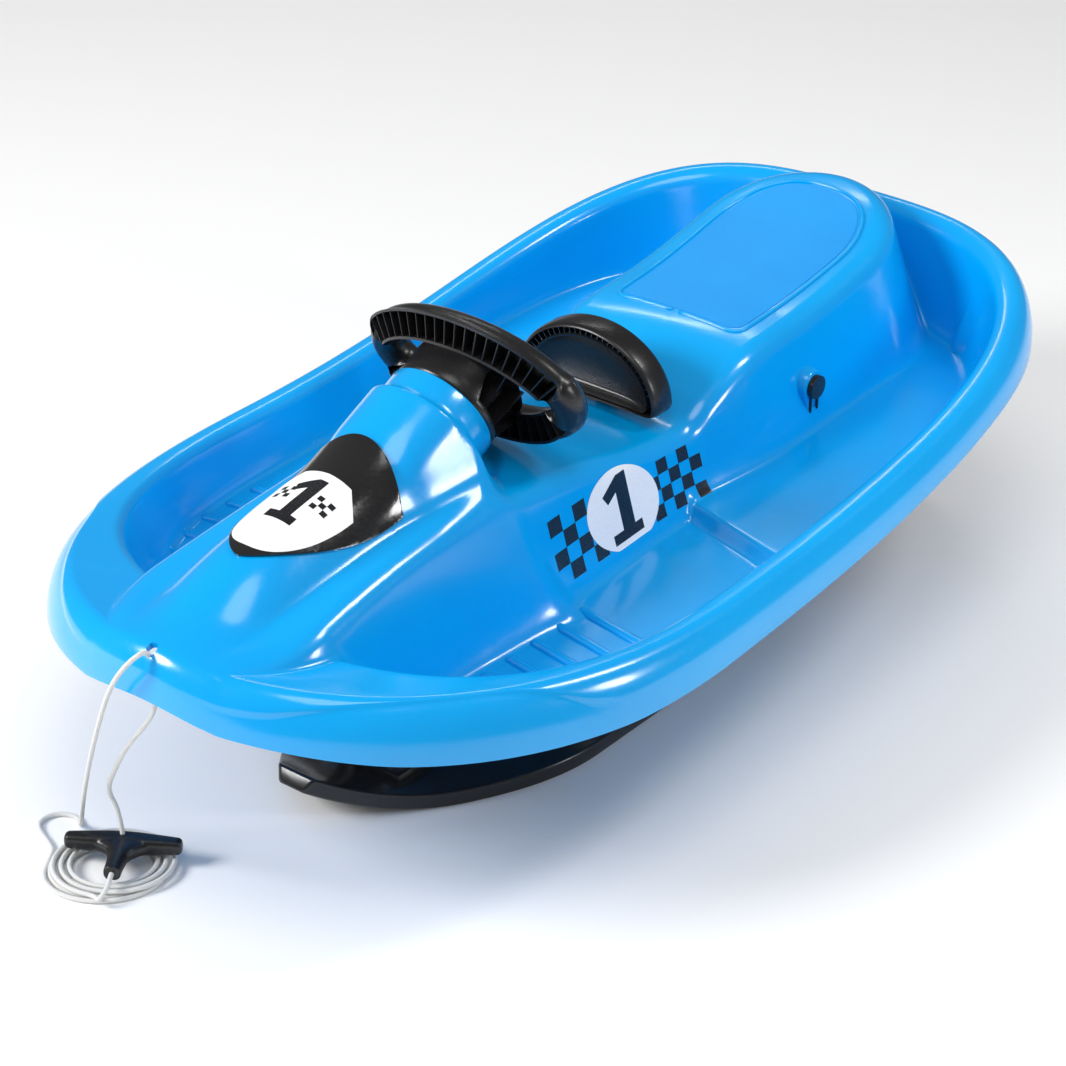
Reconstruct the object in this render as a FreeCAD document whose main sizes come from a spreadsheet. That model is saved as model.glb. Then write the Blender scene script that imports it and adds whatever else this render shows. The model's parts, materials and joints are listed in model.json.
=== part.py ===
import FreeCAD, Part
import math
import os
import re
from types import SimpleNamespace

from FreeCAD import Placement, Rotation, Vector

# A children's steering sled. X points to the nose, Y to the rider's left, Z up; the floor is Z = 0.

X_AXIS = Vector(1, 0, 0)
Y_AXIS = Vector(0, 1, 0)
Z_AXIS = Vector(0, 0, 1)

doc = FreeCAD.newDocument("steering_sled")
sheet = doc.addObject("Spreadsheet::Sheet", "sizes")

# Driving dimensions: millimetres and degrees, one group for each piece that they belong to.
driving = {
    "shell": {
        "shell_length": 966, "shell_width": 540, "shell_wall": 4, "straight_run": 200,
        "lip_out": 20, "lip_drop": 38, "rim_flat": 4, "rim_round": 12,
        "sheer_low": 189, "sheer_low_x": 80, "nose_rise": 33, "tail_rise": 76,
        "well_front": 392, "side_wall_angle": 77, "front_wall_angle": 52,
        "floor_height": 139, "floor_fillet": 24,
        "step_x": -37, "step_start": 124, "step_rise": 12, "step_run": 16,
        "hump_height": 112, "hump_half_width": 75, "hump_crown": 4, "hump_round": 20,
        "hump_angle": 74, "hump_tail_x": -335, "hump_tail_run": 82,
        "hump_nose_x": 372, "hump_nose_run": 85,
        "hood_round": 50, "hood_angle": 66, "hood_blend": 16, "hood_end_blend": 8,
    },
    "shell details": {
        "rope_hole_x": 470, "rope_hole_dia": 9,
        "seat_front_x": -168, "seat_rear_x": -402, "seat_half_width": 68, "seat_recess": 2.5,
        "rib_first_x": 124, "rib_pitch": 30, "rib_inner_y": 122, "rib_outer_y": 214,
        "rib_lean": 16, "rib_dia": 11, "rib_stand": 3.5,
        "slot_front_x": -66, "slot_rear_x": -116, "slot_width": 24,
        "boss_dia": 18, "boss_hole_dia": 5, "boss_hole_depth": 13,
    },
    "badge": {
        "badge_tip_x": 379, "badge_corner_x": 252, "badge_top_x": 234, "badge_half_width": 50,
        "badge_thick": 2, "badge_gap": 0.6,
    },
    "steering": {
        "wheel_x": 95, "wheel_z": 308, "column_tilt": 25, "column_dia": 22, "column_end": 128,
        "wheel_half_width": 104, "wheel_half_height": 64, "rim_radial": 13, "rim_axial": 14.5,
        "rim_shift": 4, "rim_back": 7, "hub_dia": 92, "hub_face_dia": 72, "hub_bore_depth": 34,
        "plate_half_width": 44, "plate_back": 17,
        "collar_start": 54, "hood_end": 77, "collar_stub": 84, "collar_dia": 94, "wheel_gap": 0.6,
        "upper_bush_start": 58, "upper_bush_len": 20, "bush_wall": 4,
        "lower_bush_start": 104, "lower_bush_len": 20, "fit_gap": 0.05,
        "clip_dia": 32, "clip_thick": 3,
        "screw_dia": 8, "screw_head_dia": 15, "screw_head": 5, "screw_depth": 24,
        "cap_dia": 54, "cap_thick": 7,
        "crank_at": 92, "crank_thick": 12, "crank_width": 22, "crank_hub_dia": 38,
        "crank_reach": 75, "crank_end": 46, "ball_dia": 14, "stud_dia": 8,
    },
    "steering frame": {
        "frame_top": 118, "frame_thick": 10, "frame_rear_x": 178, "frame_front_x": 272,
        "frame_half_width": 166, "frame_boss_y": 152, "frame_boss_inset": 14,
        "leg_inner_y": 63, "leg_thick": 10, "leg_front_x": 214,
        "beam_low": 216, "beam_high": 234, "saddle_half_width": 25, "saddle_high": 258,
        "saddle_dia": 42, "housing_dia": 46, "housing_low": 62, "housing_high": 184,
    },
    "ski": {
        "tiller_reach": 92, "kingpin_dia": 20, "tiller_low": 192, "tiller_high": 210,
        "tiller_hub_dia": 44, "tiller_width": 34, "tiller_tail": 14, "tiller_slack": 1.3,
        "nut_thick": 9, "nut_dia": 34,
        "ski_tip_x": 335, "ski_rear_x": -149, "ski_flat_x": 235, "ski_tip_rise": 32,
        "ski_thick": 14, "ski_half_width": 138, "ski_nose_run": 240, "ski_rear_round": 40,
        "bracket_length": 96, "bracket_front": 23, "bracket_width": 96, "bracket_base": 9, "bracket_dia": 50,
        "bolt_dia": 8, "bolt_head_dia": 16, "bolt_head": 5, "bolt_inset": 15, "bolt_depth": 10,
        "kingpin_flange": 5, "bush_flange": 3,
    },
    "brake": {
        "axle_x": -217, "axle_z": 196, "axle_dia": 12, "axle_half_length": 115,
        "axle_boss_dia": 27, "axle_boss_inner": 84, "axle_boss_outer": 109,
        "sleeve_dia": 30, "sleeve_half_length": 79, "arm_width": 16, "arm_tall": 15,
        "stem_front_x": -68, "stem_rear_x": -80, "stem_top": 252,
        "handle_rear_x": -68, "handle_front_x": -40, "handle_plate": 8, "handle_low": 222,
        "handle_mid_z": 228, "handle_half_width": 72, "handle_half_height": 58, "grip_thick": 13,
        "handle_screw_dia": 5, "handle_screw_head_dia": 10, "handle_screw_head": 4,
        "handle_screw_low": 232, "handle_screw_pitch": 13,
        "claw_arm_y": 36, "claw_arm_width": 10, "claw_arm_tall": 18, "claw_arm_angle": 43,
        "claw_arm_len": 205, "claw_len": 46, "claw_half_width": 44, "claw_thick": 4,
        "claw_reach": 238, "tooth_width": 12, "tooth_tall": 14, "claw_bolt_dia": 6,
        "claw_bolt_head_dia": 12, "claw_bolt_head": 4, "claw_bolt_back": 22,
        "cap_plate_dia": 21, "cap_plate_thick": 5,
    },
    "keel": {
        "keel_high": 142, "keel_wall": 5, "keel_flange": 26, "keel_flange_thick": 6,
        "keel_front_x": -186, "keel_rear_x": -430, "keel_half_width": 92,
        "keel_top_front_x": -172, "keel_top_rear_x": -440, "keel_top_half_width": 132,
        "keel_boss_front_x": -196, "keel_boss_rear_x": -404, "keel_boss_y": 146,
        "claw_slot_front_x": -318, "claw_slot_rear_x": -412, "claw_slot_half_width": 52,
    },
    "screws": {
        "fix_dia": 4.8, "fix_head_dia": 12, "fix_head": 4, "fix_depth": 11, "overrun": 6,
    },
    "rope": {
        "rope_join_z": 200, "rope_sag": 6, "rope_rise": 28, "rope_reach": 23,
        "rope_hang_x": 499, "rope_hang_y": -16, "rope_hang_z": 203,
        "touch_x": 446, "touch_y": -121, "loop_x": 455, "loop_y": -136, "loop_radius": 17,
        "under_drop": 20, "under_y": -8, "under_z": 162, "under_end_x": 457,
        "under_end_y": -84, "under_end_z": 66, "grip_lead": 24,
        "rope_dia": 4, "pile_x": 470, "pile_y": -68, "pile_outer": 47, "pile_inner": 30,
        "pile_floor": 0.2, "layer_rise": 4.6, "tail_radius": 15, "grip_height": 17.8,
        "grip_length": 92, "grip_dia": 17, "grip_stem": 40, "grip_stem_dia": 14,
    },
}
cells = [pair for group in driving.values() for pair in group.items()]
for row, (alias, value) in enumerate(cells, start=1):
    sheet.set(f"A{row}", alias)
    sheet.set(f"B{row}", str(value))
    sheet.setAlias(f"B{row}", alias)
doc.recompute()
size = SimpleNamespace(**{alias: float(getattr(sheet, alias)) for alias, value in cells})

# The shell's long lines: a share of the half length, then a share of the hump's height over the floor.
hump_shares = [
    (1.0, 0.7), (0.881, 0.777), (0.8, 0.848), (0.676, 0.929), (0.525, 0.991), (0.41, 0.982),
    (0.266, 0.911), (0.082, 0.786), (0.0, 0.714), (-0.082, 0.668), (-0.148, 0.668), (-0.2, 0.79),
    (-0.268, 0.929), (-0.326, 1.0), (-0.471, 1.045), (-0.584, 1.107), (-0.711, 1.205),
    (-0.82, 1.32), (-1.0, 1.42),
]
hood_shares = [
    (1.0, 0.6), (0.963, 0.723), (0.881, 0.911), (0.783, 1.098), (0.676, 1.205), (0.561, 1.3),
    (0.497, 1.4), (0.458, 1.5), (0.393, 1.63), (0.354, 1.705), (0.266, 1.87), (-1.0, 1.9),
]
# A share of the half length, then a share of the hump's half width.
hump_side_shares = [
    (1.0, 1.0), (0.8, 0.92), (0.65, 0.86), (0.525, 0.84), (0.266, 0.86), (0.0, 0.89), (-0.148, 0.95),
    (-0.326, 1.0), (-1.0, 1.0),
]
# A share of the half length, then a share of the lip's size at the sides.
lip_shares = [
    (1.0, 1.0), (0.93, 1.05), (0.8, 1.18), (0.5, 1.18), (0.37, 1.1), (0.2, 1.0), (-0.2, 0.92),
    (-0.38, 0.86), (-0.55, 0.84), (-0.75, 0.94), (-1.0, 1.0),
]
nose_exponent = 2.2
well_exponent = 2.6
tail_exponent = 3.2
step_skew_share = 0.28
rear_slope_share = 0.045
spine_share = 0.54
station_count = 130
lip_count = 8
inner_count = 44
rib_count = 5


def formula(text):
    """Turn plain size names into references to the sheet's cells."""
    kept = ("sin", "cos", "deg")
    return re.sub(r"[a-z_]\w*", lambda word: word.group() if word.group() in kept
                  else "sizes." + word.group(), text)


def place(obj, x="0", y="0", z="0", axis=None, angle=None):
    if axis is not None:
        obj.Placement = Placement(Vector(), Rotation(axis, 1))
        obj.setExpression("Placement.Rotation.Angle", formula(angle))
    obj.setExpression("Placement.Base.x", formula(x))
    obj.setExpression("Placement.Base.y", formula(y))
    obj.setExpression("Placement.Base.z", formula(z))
    return obj


def primitive(kind, name, sizes, **where):
    obj = doc.addObject("Part::" + kind, name)
    for prop, text in sizes.items():
        obj.setExpression(prop, formula(text))
    return place(obj, **where)


def rod(name, dia, length, **where):
    return primitive("Cylinder", name, {"Radius": f"({dia}) / 2", "Height": length}, **where)


def block(name, x, y, z, **where):
    """A box between two named planes along each axis."""
    spans = {"Length": x, "Width": y, "Height": z}
    sizes = {prop: f"({high}) - ({low})" for prop, (low, high) in spans.items()}
    return primitive("Box", name, sizes, x=x[0], y=y[0], z=z[0], **where)


def fuse(name, *shapes):
    obj = doc.addObject("Part::MultiFuse", name)
    obj.Shapes = list(shapes)
    obj.Refine = False
    return obj


def cut(name, base, *tools):
    obj = doc.addObject("Part::Cut", name)
    obj.Base = base
    obj.Tool = tools[0] if len(tools) == 1 else fuse(name + "_tools", *tools)
    obj.Refine = False
    return obj


def common(name, base, tool):
    obj = doc.addObject("Part::Common", name)
    obj.Base = base
    obj.Tool = tool
    return obj


def group(name, *shapes):
    obj = doc.addObject("Part::Compound", name)
    obj.Links = list(shapes)
    return obj


def plain(name, shape):
    obj = doc.addObject("Part::Feature", name)
    obj.Shape = shape
    return obj


nodes = []


def node(label, obj):
    obj.Label = label
    nodes.append(obj)
    return obj


def tilted(label, obj):
    """Stand a piece drawn about the wheel's centre, Z to the rider, in the steering axis."""
    place(obj, x="wheel_x", z="wheel_z", axis=Y_AXIS, angle="column_tilt - 90")
    return node(label, obj)


# The steering axis: depth runs from the wheel's centre down the column, lift square to it.
tilt = math.radians(size.column_tilt)


def axis_point(depth, lift=0.0):
    x = size.wheel_x + depth * math.cos(tilt) + lift * math.sin(tilt)
    z = size.wheel_z - depth * math.sin(tilt) + lift * math.cos(tilt)
    return x, z


# Curves and blends of the shell's surface.
half_length = size.shell_length / 2
half_width = size.shell_width / 2
half_run = size.straight_run / 2


def smooth_max(a, b, blend):
    gap = abs(a - b)
    if gap >= blend:
        return max(a, b)
    return max(a, b) + (blend - gap) ** 2 / (4 * blend)


def rounded_drop(run, radius, angle):
    """Fall of a surface that rounds over an edge and then goes down at an angle."""
    slope = math.radians(angle)
    turn = radius * math.sin(slope)
    if run <= 0:
        return 0.0
    if run < turn:
        return radius - math.sqrt(radius * radius - run * run)
    return radius * (1 - math.cos(slope)) + (run - turn) * math.tan(slope)


def along(shares, share):
    """A smooth line through a table that runs from the nose to the tail."""
    if share >= shares[0][0]:
        return shares[0][1]
    if share <= shares[-1][0]:
        return shares[-1][1]
    last = len(shares) - 1
    i = next(k for k in range(last) if shares[k][0] >= share >= shares[k + 1][0])
    (x0, z0), (x1, z1) = shares[i], shares[i + 1]

    def slope(k):
        before, after = shares[max(k - 1, 0)], shares[min(k + 1, last)]
        return (after[1] - before[1]) / (after[0] - before[0])

    step = x1 - x0
    q = (share - x0) / step
    m0, m1 = slope(i) * step, slope(i + 1) * step
    return (z0 * (1 + 2 * q) * (1 - q) ** 2 + m0 * q * (1 - q) ** 2
            + z1 * q * q * (3 - 2 * q) + m1 * q * q * (q - 1))


def inside_oval(x, y, front, tail, side, front_exponent):
    """Distance inside an oval with a straight middle, and how far its edge faces forward."""
    reach, exponent, run = front, front_exponent, x - half_run
    if x < -half_run:
        reach, exponent, run = tail, tail_exponent, -half_run - x
    if run <= 0:
        return side - abs(y), 0.0
    a, b = run / reach, abs(y) / side
    g = (a ** exponent + b ** exponent) ** (1 / exponent)
    ga = (a / g) ** (exponent - 1) / reach
    gb = (b / g) ** (exponent - 1) / side
    facing = ga / math.hypot(ga, gb) if x > 0 else 0.0
    return (1 - g) / math.hypot(ga, gb), facing


def sheer(x):
    """Height of the rim along the sled."""
    if x > size.sheer_low_x:
        run = (half_length - size.lip_out) - size.sheer_low_x
        return size.sheer_low + size.nose_rise * ((x - size.sheer_low_x) / run) ** 2
    run = (half_length - size.lip_out) + size.sheer_low_x
    return size.sheer_low + size.tail_rise * ((size.sheer_low_x - x) / run) ** 2


def rim_surface(x, y):
    inset = size.lip_out + size.rim_flat
    depth, facing = inside_oval(x, y, size.well_front - half_run, half_length - half_run - inset,
                                half_width - inset, well_exponent)
    angle = size.side_wall_angle + (size.front_wall_angle - size.side_wall_angle) * facing ** 2
    return sheer(x) - rounded_drop(depth, size.rim_round, angle)


def floor_surface(x, y):
    step = size.step_x + step_skew_share * (abs(y) - size.step_start)
    q = min(max((step - x) / size.step_run, 0.0), 1.0)
    rise = size.step_rise * q * q * (3 - 2 * q)
    return size.floor_height + rise + rear_slope_share * max(step - x, 0.0)


def hump_surface(x, y):
    top = size.floor_height + size.hump_height * along(hump_shares, x / half_length)
    side = size.hump_half_width * along(hump_side_shares, x / half_length)
    run = abs(y) - side
    if x < size.hump_tail_x:
        run = (math.hypot((x - size.hump_tail_x) / size.hump_tail_run, y / side) - 1) * side
    if x > size.hump_nose_x:
        run = (math.hypot((x - size.hump_nose_x) / size.hump_nose_run, y / side) - 1) * side
    crown = size.hump_crown * min(abs(y) / side, 1.0) ** 2
    return top - crown - rounded_drop(run, size.hump_round, size.hump_angle)


def hood_surface(x, y):
    top = size.floor_height + size.hump_height * along(hood_shares, x / half_length)
    top -= rounded_drop(abs(y), size.hood_round, size.hood_angle)
    end_x, end_z = axis_point(size.hood_end)
    end = end_z + (x - end_x) / math.tan(tilt)
    return -smooth_max(-top, -end, size.hood_end_blend)


def skin_height(x, y):
    tub = smooth_max(floor_surface(x, y), rim_surface(x, y), size.floor_fillet)
    body = smooth_max(hump_surface(x, y), hood_surface(x, y), size.hood_blend)
    return smooth_max(tub, body, size.floor_fillet)


def skin_point(x, y, lift=0.0):
    """A point of the skin, lifted square to it."""
    probe = size.shell_wall / 8
    dx = (skin_height(x + probe, y) - skin_height(x - probe, y)) / (2 * probe)
    dy = (skin_height(x, y + probe) - skin_height(x, y - probe)) / (2 * probe)
    normal = Vector(-dx, -dy, 1).normalize()
    return Vector(x, y, skin_height(x, y)) + normal * lift


def rim_line():
    """Evenly spaced points of the left half of the rim's crest, nose to tail, with their normals."""
    fine = 400
    front, tail = half_length - half_run - size.lip_out, half_length - half_run - size.lip_out
    side = half_width - size.lip_out
    points = []
    for i in range(fine + 1):
        turn = math.pi / 2 * i / fine
        points.append((half_run + front * math.cos(turn) ** (2 / nose_exponent),
                       side * math.sin(turn) ** (2 / nose_exponent)))
    for i in range(fine, -1, -1):
        turn = math.pi / 2 * i / fine
        points.append((-half_run - tail * math.cos(turn) ** (2 / tail_exponent),
                       side * math.sin(turn) ** (2 / tail_exponent)))
    points[0] = (points[0][0], 0.0)
    points[-1] = (points[-1][0], 0.0)
    lengths = [0.0]
    for a, b in zip(points, points[1:]):
        lengths.append(lengths[-1] + math.dist(a, b))
    crest = []
    k = 0
    for i in range(station_count + 1):
        goal = lengths[-1] * i / station_count
        while k < len(lengths) - 2 and lengths[k + 1] < goal:
            k += 1
        q = (goal - lengths[k]) / (lengths[k + 1] - lengths[k])
        x = points[k][0] + q * (points[k + 1][0] - points[k][0])
        y = points[k][1] + q * (points[k + 1][1] - points[k][1])
        crest.append((x, y))
    crest[0] = points[0]
    crest[-1] = points[-1]
    normals = [Vector(1, 0, 0)]
    for before, after in zip(crest, crest[2:]):
        normals.append(Vector(before[1] - after[1], after[0] - before[0], 0).normalize() * -1)
    normals.append(Vector(-1, 0, 0))
    return list(zip(crest, normals))


def skin_row(i, crest, outward, lift):
    """Points across the left half at one station, from the lip's edge to the centre line."""
    x, y = crest
    top = skin_height(x, y)
    share = along(lip_shares, x / half_length)
    lip_out, lip_drop = size.lip_out * share, size.lip_drop * share
    row = []
    for k in range(lip_count, 0, -1):
        turn = math.pi / 2 * k / lip_count
        out = outward * (lip_out * math.sin(turn))
        fall = lip_drop * (1 - math.cos(turn))
        face = outward * (math.sin(turn) / lip_out) + Z_AXIS * (math.cos(turn) / lip_drop)
        row.append(Vector(x, y, top - fall) + out + face.normalize() * lift)
    spine_x = spine_share * half_length * (1 - 2 * i / station_count)
    for k in range(inner_count + 1):
        inward = k / inner_count
        row.append(skin_point(x + (spine_x - x) * inward, y * (1 - inward), lift))
    return row


def spline_face(rows):
    surface = Part.BSplineSurface()
    surface.interpolate(rows)
    return surface


def closed_solid(faces):
    shell = Part.makeShell(faces)
    shell.sewShape()
    solid = Part.makeSolid(shell)
    if solid.Volume < 0:
        solid.reverse()
    return solid


def skin_solid():
    line = rim_line()
    faces = []
    for mirror in (1, -1):
        def half(lift):
            return [[Vector(p.x, p.y * mirror, p.z) for p in skin_row(i, crest, outward, lift)]
                    for i, (crest, outward) in enumerate(line)]
        outer, inner = spline_face(half(0.0)), spline_face(half(-size.shell_wall))
        first = outer.bounds()[2]
        edge = Part.makeRuledSurface(outer.vIso(first).toShape(), inner.vIso(first).toShape())
        faces += [outer.toShape(), inner.toShape(), edge]
    return closed_solid(faces)


def patch_solid(spots, low, high):
    """A plate that follows the skin between two lifts, over a grid of places."""
    bottom = spline_face([[skin_point(x, y, low) for x, y in row] for row in spots])
    top = spline_face([[skin_point(x, y, high) for x, y in row] for row in spots])
    u0, u1, v0, v1 = bottom.bounds()
    sides = [(bottom.uIso(u0), top.uIso(u0)), (bottom.uIso(u1), top.uIso(u1)),
             (bottom.vIso(v0), top.vIso(v0)), (bottom.vIso(v1), top.vIso(v1))]
    faces = [bottom.toShape(), top.toShape()]
    faces += [Part.makeRuledSurface(a.toShape(), b.toShape()) for a, b in sides]
    return closed_solid(faces)


def seat_spots():
    """Places of the seat's recess: straight sides, then a round tail."""
    long_count, cross_count, tail_share, tip_share = 18, 8, 0.32, 0.06
    spots = []
    for i in range(long_count + 1):
        q = math.sin(math.pi / 2 * i / long_count)
        x = size.seat_front_x + (size.seat_rear_x - size.seat_front_x) * q
        back = max((q - (1 - tail_share)) / tail_share, 0.0)
        width = size.seat_half_width * max(math.sqrt(max(1 - back ** 2, 0.0)), tip_share)
        spots.append([(x, width * (2 * j / cross_count - 1)) for j in range(cross_count + 1)])
    return spots


def badge_spots():
    """Places of the badge: a rounded tip that widens to two corners, with an arched top edge."""
    long_count, cross_count, tip_share = 16, 10, 0.05
    spots = []
    for i in range(long_count + 1):
        q = (i / long_count) ** 1.4
        width = size.badge_half_width * max(math.sin(math.pi / 2 * q ** 0.62), tip_share)
        row = []
        for j in range(cross_count + 1):
            cross = 2 * j / cross_count - 1
            last = size.badge_top_x + (size.badge_corner_x - size.badge_top_x) * cross ** 2
            row.append((size.badge_tip_x + (last - size.badge_tip_x) * q, width * cross))
        spots.append(row)
    return spots


# Bosses under the shell take the screws of the steering frame and the keel.
frame_bosses = [(x, y) for x in ("frame_rear_x + frame_boss_inset", "frame_front_x - frame_boss_inset")
                for y in ("frame_boss_y", "-frame_boss_y")]
keel_bosses = [(x, y) for x in ("keel_boss_front_x", "keel_boss_rear_x")
               for y in ("keel_boss_y", "-keel_boss_y")]


def boss_set(name, places, seat):
    """Bosses from a seat plane up into the floor's skin, and the pilot holes in them."""
    bosses, holes = [], []
    for i, (x, y) in enumerate(places):
        floor = skin_height(*(float(sheet.evalExpression(formula(text))) for text in (x, y)))
        bosses.append(rod(f"{name}_boss_{i}", "boss_dia", f"{floor:.2f} - shell_wall / 2 - {seat}",
                          x=x, y=y, z=seat))
        holes.append(rod(f"{name}_hole_{i}", "boss_hole_dia", "boss_hole_depth", x=x, y=y, z=seat))
    return bosses, holes


def screw_set(label, places, seat, under):
    """Pan-head screws up through a flange, under the seat plane, into their bosses."""
    screws = []
    for i, (x, y) in enumerate(places):
        shank = rod(f"{label}_shank_{i}", "fix_dia", f"fix_depth + {under} + fix_head / 2",
                    x=x, y=y, z=f"{seat} - {under} - fix_head / 2")
        head = rod(f"{label}_head_{i}", "fix_head_dia", "fix_head",
                   x=x, y=y, z=f"{seat} - {under} - fix_head")
        screws.append(fuse(f"{label}_{i}", shank, head))
    return node(label, group(label, *screws))


def leaned(name, *pieces):
    """Pieces drawn about the wheel's centre, leaned into the steering axis."""
    return place(group(name, *pieces), x="wheel_x", z="wheel_z", axis=Y_AXIS, angle="column_tilt - 90")


def cross_rod(name, dia, low, high, x, z):
    """A rod across the sled."""
    return rod(name, dia, f"({high}) - ({low})", x=x, y=low, z=z, axis=X_AXIS, angle="-90")


def foot_ribs():
    ribs = []
    reach = size.rib_outer_y - size.rib_inner_y
    for side, word in ((1, "left"), (-1, "right")):
        for i in range(rib_count):
            rib = rod(f"rib_{word}_{i}", "rib_dia", "rib_outer_y - rib_inner_y",
                      x=f"rib_first_x + rib_pitch * {i}", y=f"rib_inner_y * {side}",
                      z="floor_height - rib_dia / 2 + rib_stand")
            rib.Placement = Placement(Vector(), Rotation(Z_AXIS, Vector(size.rib_lean, side * reach, 0)))
            ribs.append(rib)
    return ribs


def sled_shell():
    skin = plain("shell_skin", skin_solid())
    collar = leaned("collar", rod("collar_rod", "collar_dia", "collar_stub - collar_start",
                                  z="-collar_stub"))
    bore = leaned("collar_bore", rod("bore_rod", "collar_dia - 2 * shell_wall",
                                     "collar_stub - collar_start + overrun", z="-collar_stub"))
    frame_pads, frame_holes = boss_set("frame", frame_bosses, "frame_top")
    keel_pads, keel_holes = boss_set("keel", keel_bosses, "keel_high")
    ears = [cross_rod("axle_boss_left", "axle_boss_dia", "axle_boss_inner", "axle_boss_outer",
                      "axle_x", "axle_z"),
            cross_rod("axle_boss_right", "axle_boss_dia", "-axle_boss_outer", "-axle_boss_inner",
                      "axle_x", "axle_z")]
    axle_way = cross_rod("axle_way", "axle_dia + 2 * fit_gap", "-axle_half_length - overrun",
                         "axle_half_length + overrun", "axle_x", "axle_z")
    rope_way = rod("rope_way", "rope_hole_dia", "2 * lip_drop", x="rope_hole_x", z="sheer_low - rim_flat")
    slot = block("handle_slot", ("slot_rear_x", "slot_front_x"), ("-slot_width / 2", "slot_width / 2"),
                 ("axle_z", "handle_mid_z + lip_drop"))
    recess = plain("seat_recess", patch_solid(seat_spots(), -size.seat_recess, size.overrun))
    body = fuse("shell_body", skin, collar, *foot_ribs(), *frame_pads, *keel_pads, *ears)
    return node("sled_shell", cut("shell", body, bore, axle_way, rope_way, slot, recess,
                                  *frame_holes, *keel_holes))


def badge_panel():
    low, high = size.badge_gap, size.badge_gap + size.badge_thick
    return node("badge_panel", plain("badge", patch_solid(badge_spots(), low, high)))


# The steering group is drawn about the wheel's centre: Z to the rider, X up, Y left.

def steering_wheel():
    line = primitive("Ellipse", "rim_line", {"MajorRadius": "wheel_half_width - rim_radial",
                                             "MinorRadius": "wheel_half_height - rim_radial"},
                     x="-rim_shift", z="-rim_back", axis=Z_AXIS, angle="90")
    section = primitive("Ellipse", "rim_section", {"MajorRadius": "rim_axial", "MinorRadius": "rim_radial"},
                        x="-rim_shift", y="wheel_half_width - rim_radial", z="-rim_back", axis=Y_AXIS,
                        angle="90")
    doc.recompute()
    rim = doc.addObject("Part::Sweep", "wheel_rim")
    rim.Sections = [section]
    rim.Spine = (line, ["Edge1"])
    rim.Solid = True
    hub = primitive("Cone", "wheel_cone", {"Radius1": "hub_dia / 2", "Radius2": "hub_face_dia / 2",
                                           "Height": "collar_start - wheel_gap"},
                    z="-collar_start + wheel_gap")
    oval = doc.addObject("Part::Extrusion", "plate_oval")
    oval.Base = line
    oval.DirMode = "Custom"
    oval.Dir = Z_AXIS
    oval.Solid = True
    oval.setExpression("LengthFwd", formula("rim_back"))
    oval.setExpression("LengthRev", formula("plate_back - rim_back"))
    bar = block("plate_bar", ("-wheel_half_height - rim_shift", "wheel_half_height"),
                ("-plate_half_width", "plate_half_width"), ("-plate_back", "0"))
    plate = common("wheel_plate", bar, oval)
    bore = rod("wheel_bore", "column_dia + 2 * fit_gap", "hub_bore_depth", z="-collar_start + wheel_gap")
    hole = rod("wheel_screw_hole", "screw_dia + 2 * fit_gap", "collar_start + 2 * overrun",
               z="-collar_start")
    return tilted("steering_wheel", cut("wheel", fuse("wheel_body", rim, hub, plate), bore, hole))


def column_pieces():
    top = "-collar_start + wheel_gap + hub_bore_depth"
    shaft = rod("column_shaft", "column_dia", f"column_end + {top}", z="-column_end")
    pilot = rod("column_pilot", "screw_dia", "screw_depth", z=f"{top} - screw_depth")
    tilted("steering_column", cut("column", shaft, pilot))
    shank = rod("wheel_screw_shank", "screw_dia", f"screw_depth / 2 - ({top})",
                z=f"{top} - screw_depth / 2")
    head = rod("wheel_screw_head", "screw_head_dia", "screw_head")
    tilted("wheel_screw", fuse("wheel_screw_body", shank, head))
    cap = rod("wheel_cap_disc", "cap_dia", "cap_thick")
    room = rod("wheel_cap_room", "screw_head_dia + 2 * fit_gap", "screw_head + fit_gap")
    tilted("wheel_cap", cut("wheel_cap_body", cap, room))
    clip = rod("clip_ring", "clip_dia", "clip_thick",
               z="-lower_bush_start - lower_bush_len - clip_thick - fit_gap")
    clip_way = rod("clip_way", "column_dia", "column_end", z="-column_end")
    tilted("column_clip", cut("clip", clip, clip_way))


def column_bushes():
    for label, start, length, dia in (
            ("upper_column_bush", "upper_bush_start", "upper_bush_len",
             "collar_dia - 2 * shell_wall - 2 * fit_gap"),
            ("lower_column_bush", "lower_bush_start", "lower_bush_len", "column_dia + 2 * bush_wall")):
        ring = rod(f"{label}_ring", dia, length, z=f"-{start} - {length}")
        way = rod(f"{label}_way", "column_dia + 2 * fit_gap", f"{length} + 2 * overrun",
                  z=f"-{start} - {length} - overrun")
        tilted(label, cut(f"{label}_body", ring, way))


def crank_pieces():
    hub = rod("crank_hub", "crank_hub_dia", "crank_thick", z="-crank_at - crank_thick / 2")
    arm = block("crank_bar", ("-crank_end", "0"), ("-crank_width / 2", "crank_width / 2"),
                ("-crank_at - crank_thick / 2", "-crank_at + crank_thick / 2"))
    way = rod("crank_way", "column_dia", "crank_thick + 2 * overrun",
              z="-crank_at - crank_thick / 2 - overrun")
    tilted("crank_arm", cut("crank", fuse("crank_body", hub, arm), way))
    stud = rod("ball_stud", "stud_dia", "crank_reach - crank_end", x="-crank_reach", z="-crank_at",
               axis=Y_AXIS, angle="90")
    ball = primitive("Sphere", "ball", {"Radius": "ball_dia / 2"}, x="-crank_reach", z="-crank_at")
    tilted("crank_ball", fuse("crank_ball_body", stud, ball))


kingpin_x = ("wheel_x + crank_at * cos(column_tilt * 1 deg) - crank_reach * sin(column_tilt * 1 deg)"
             " + tiller_reach")


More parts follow.
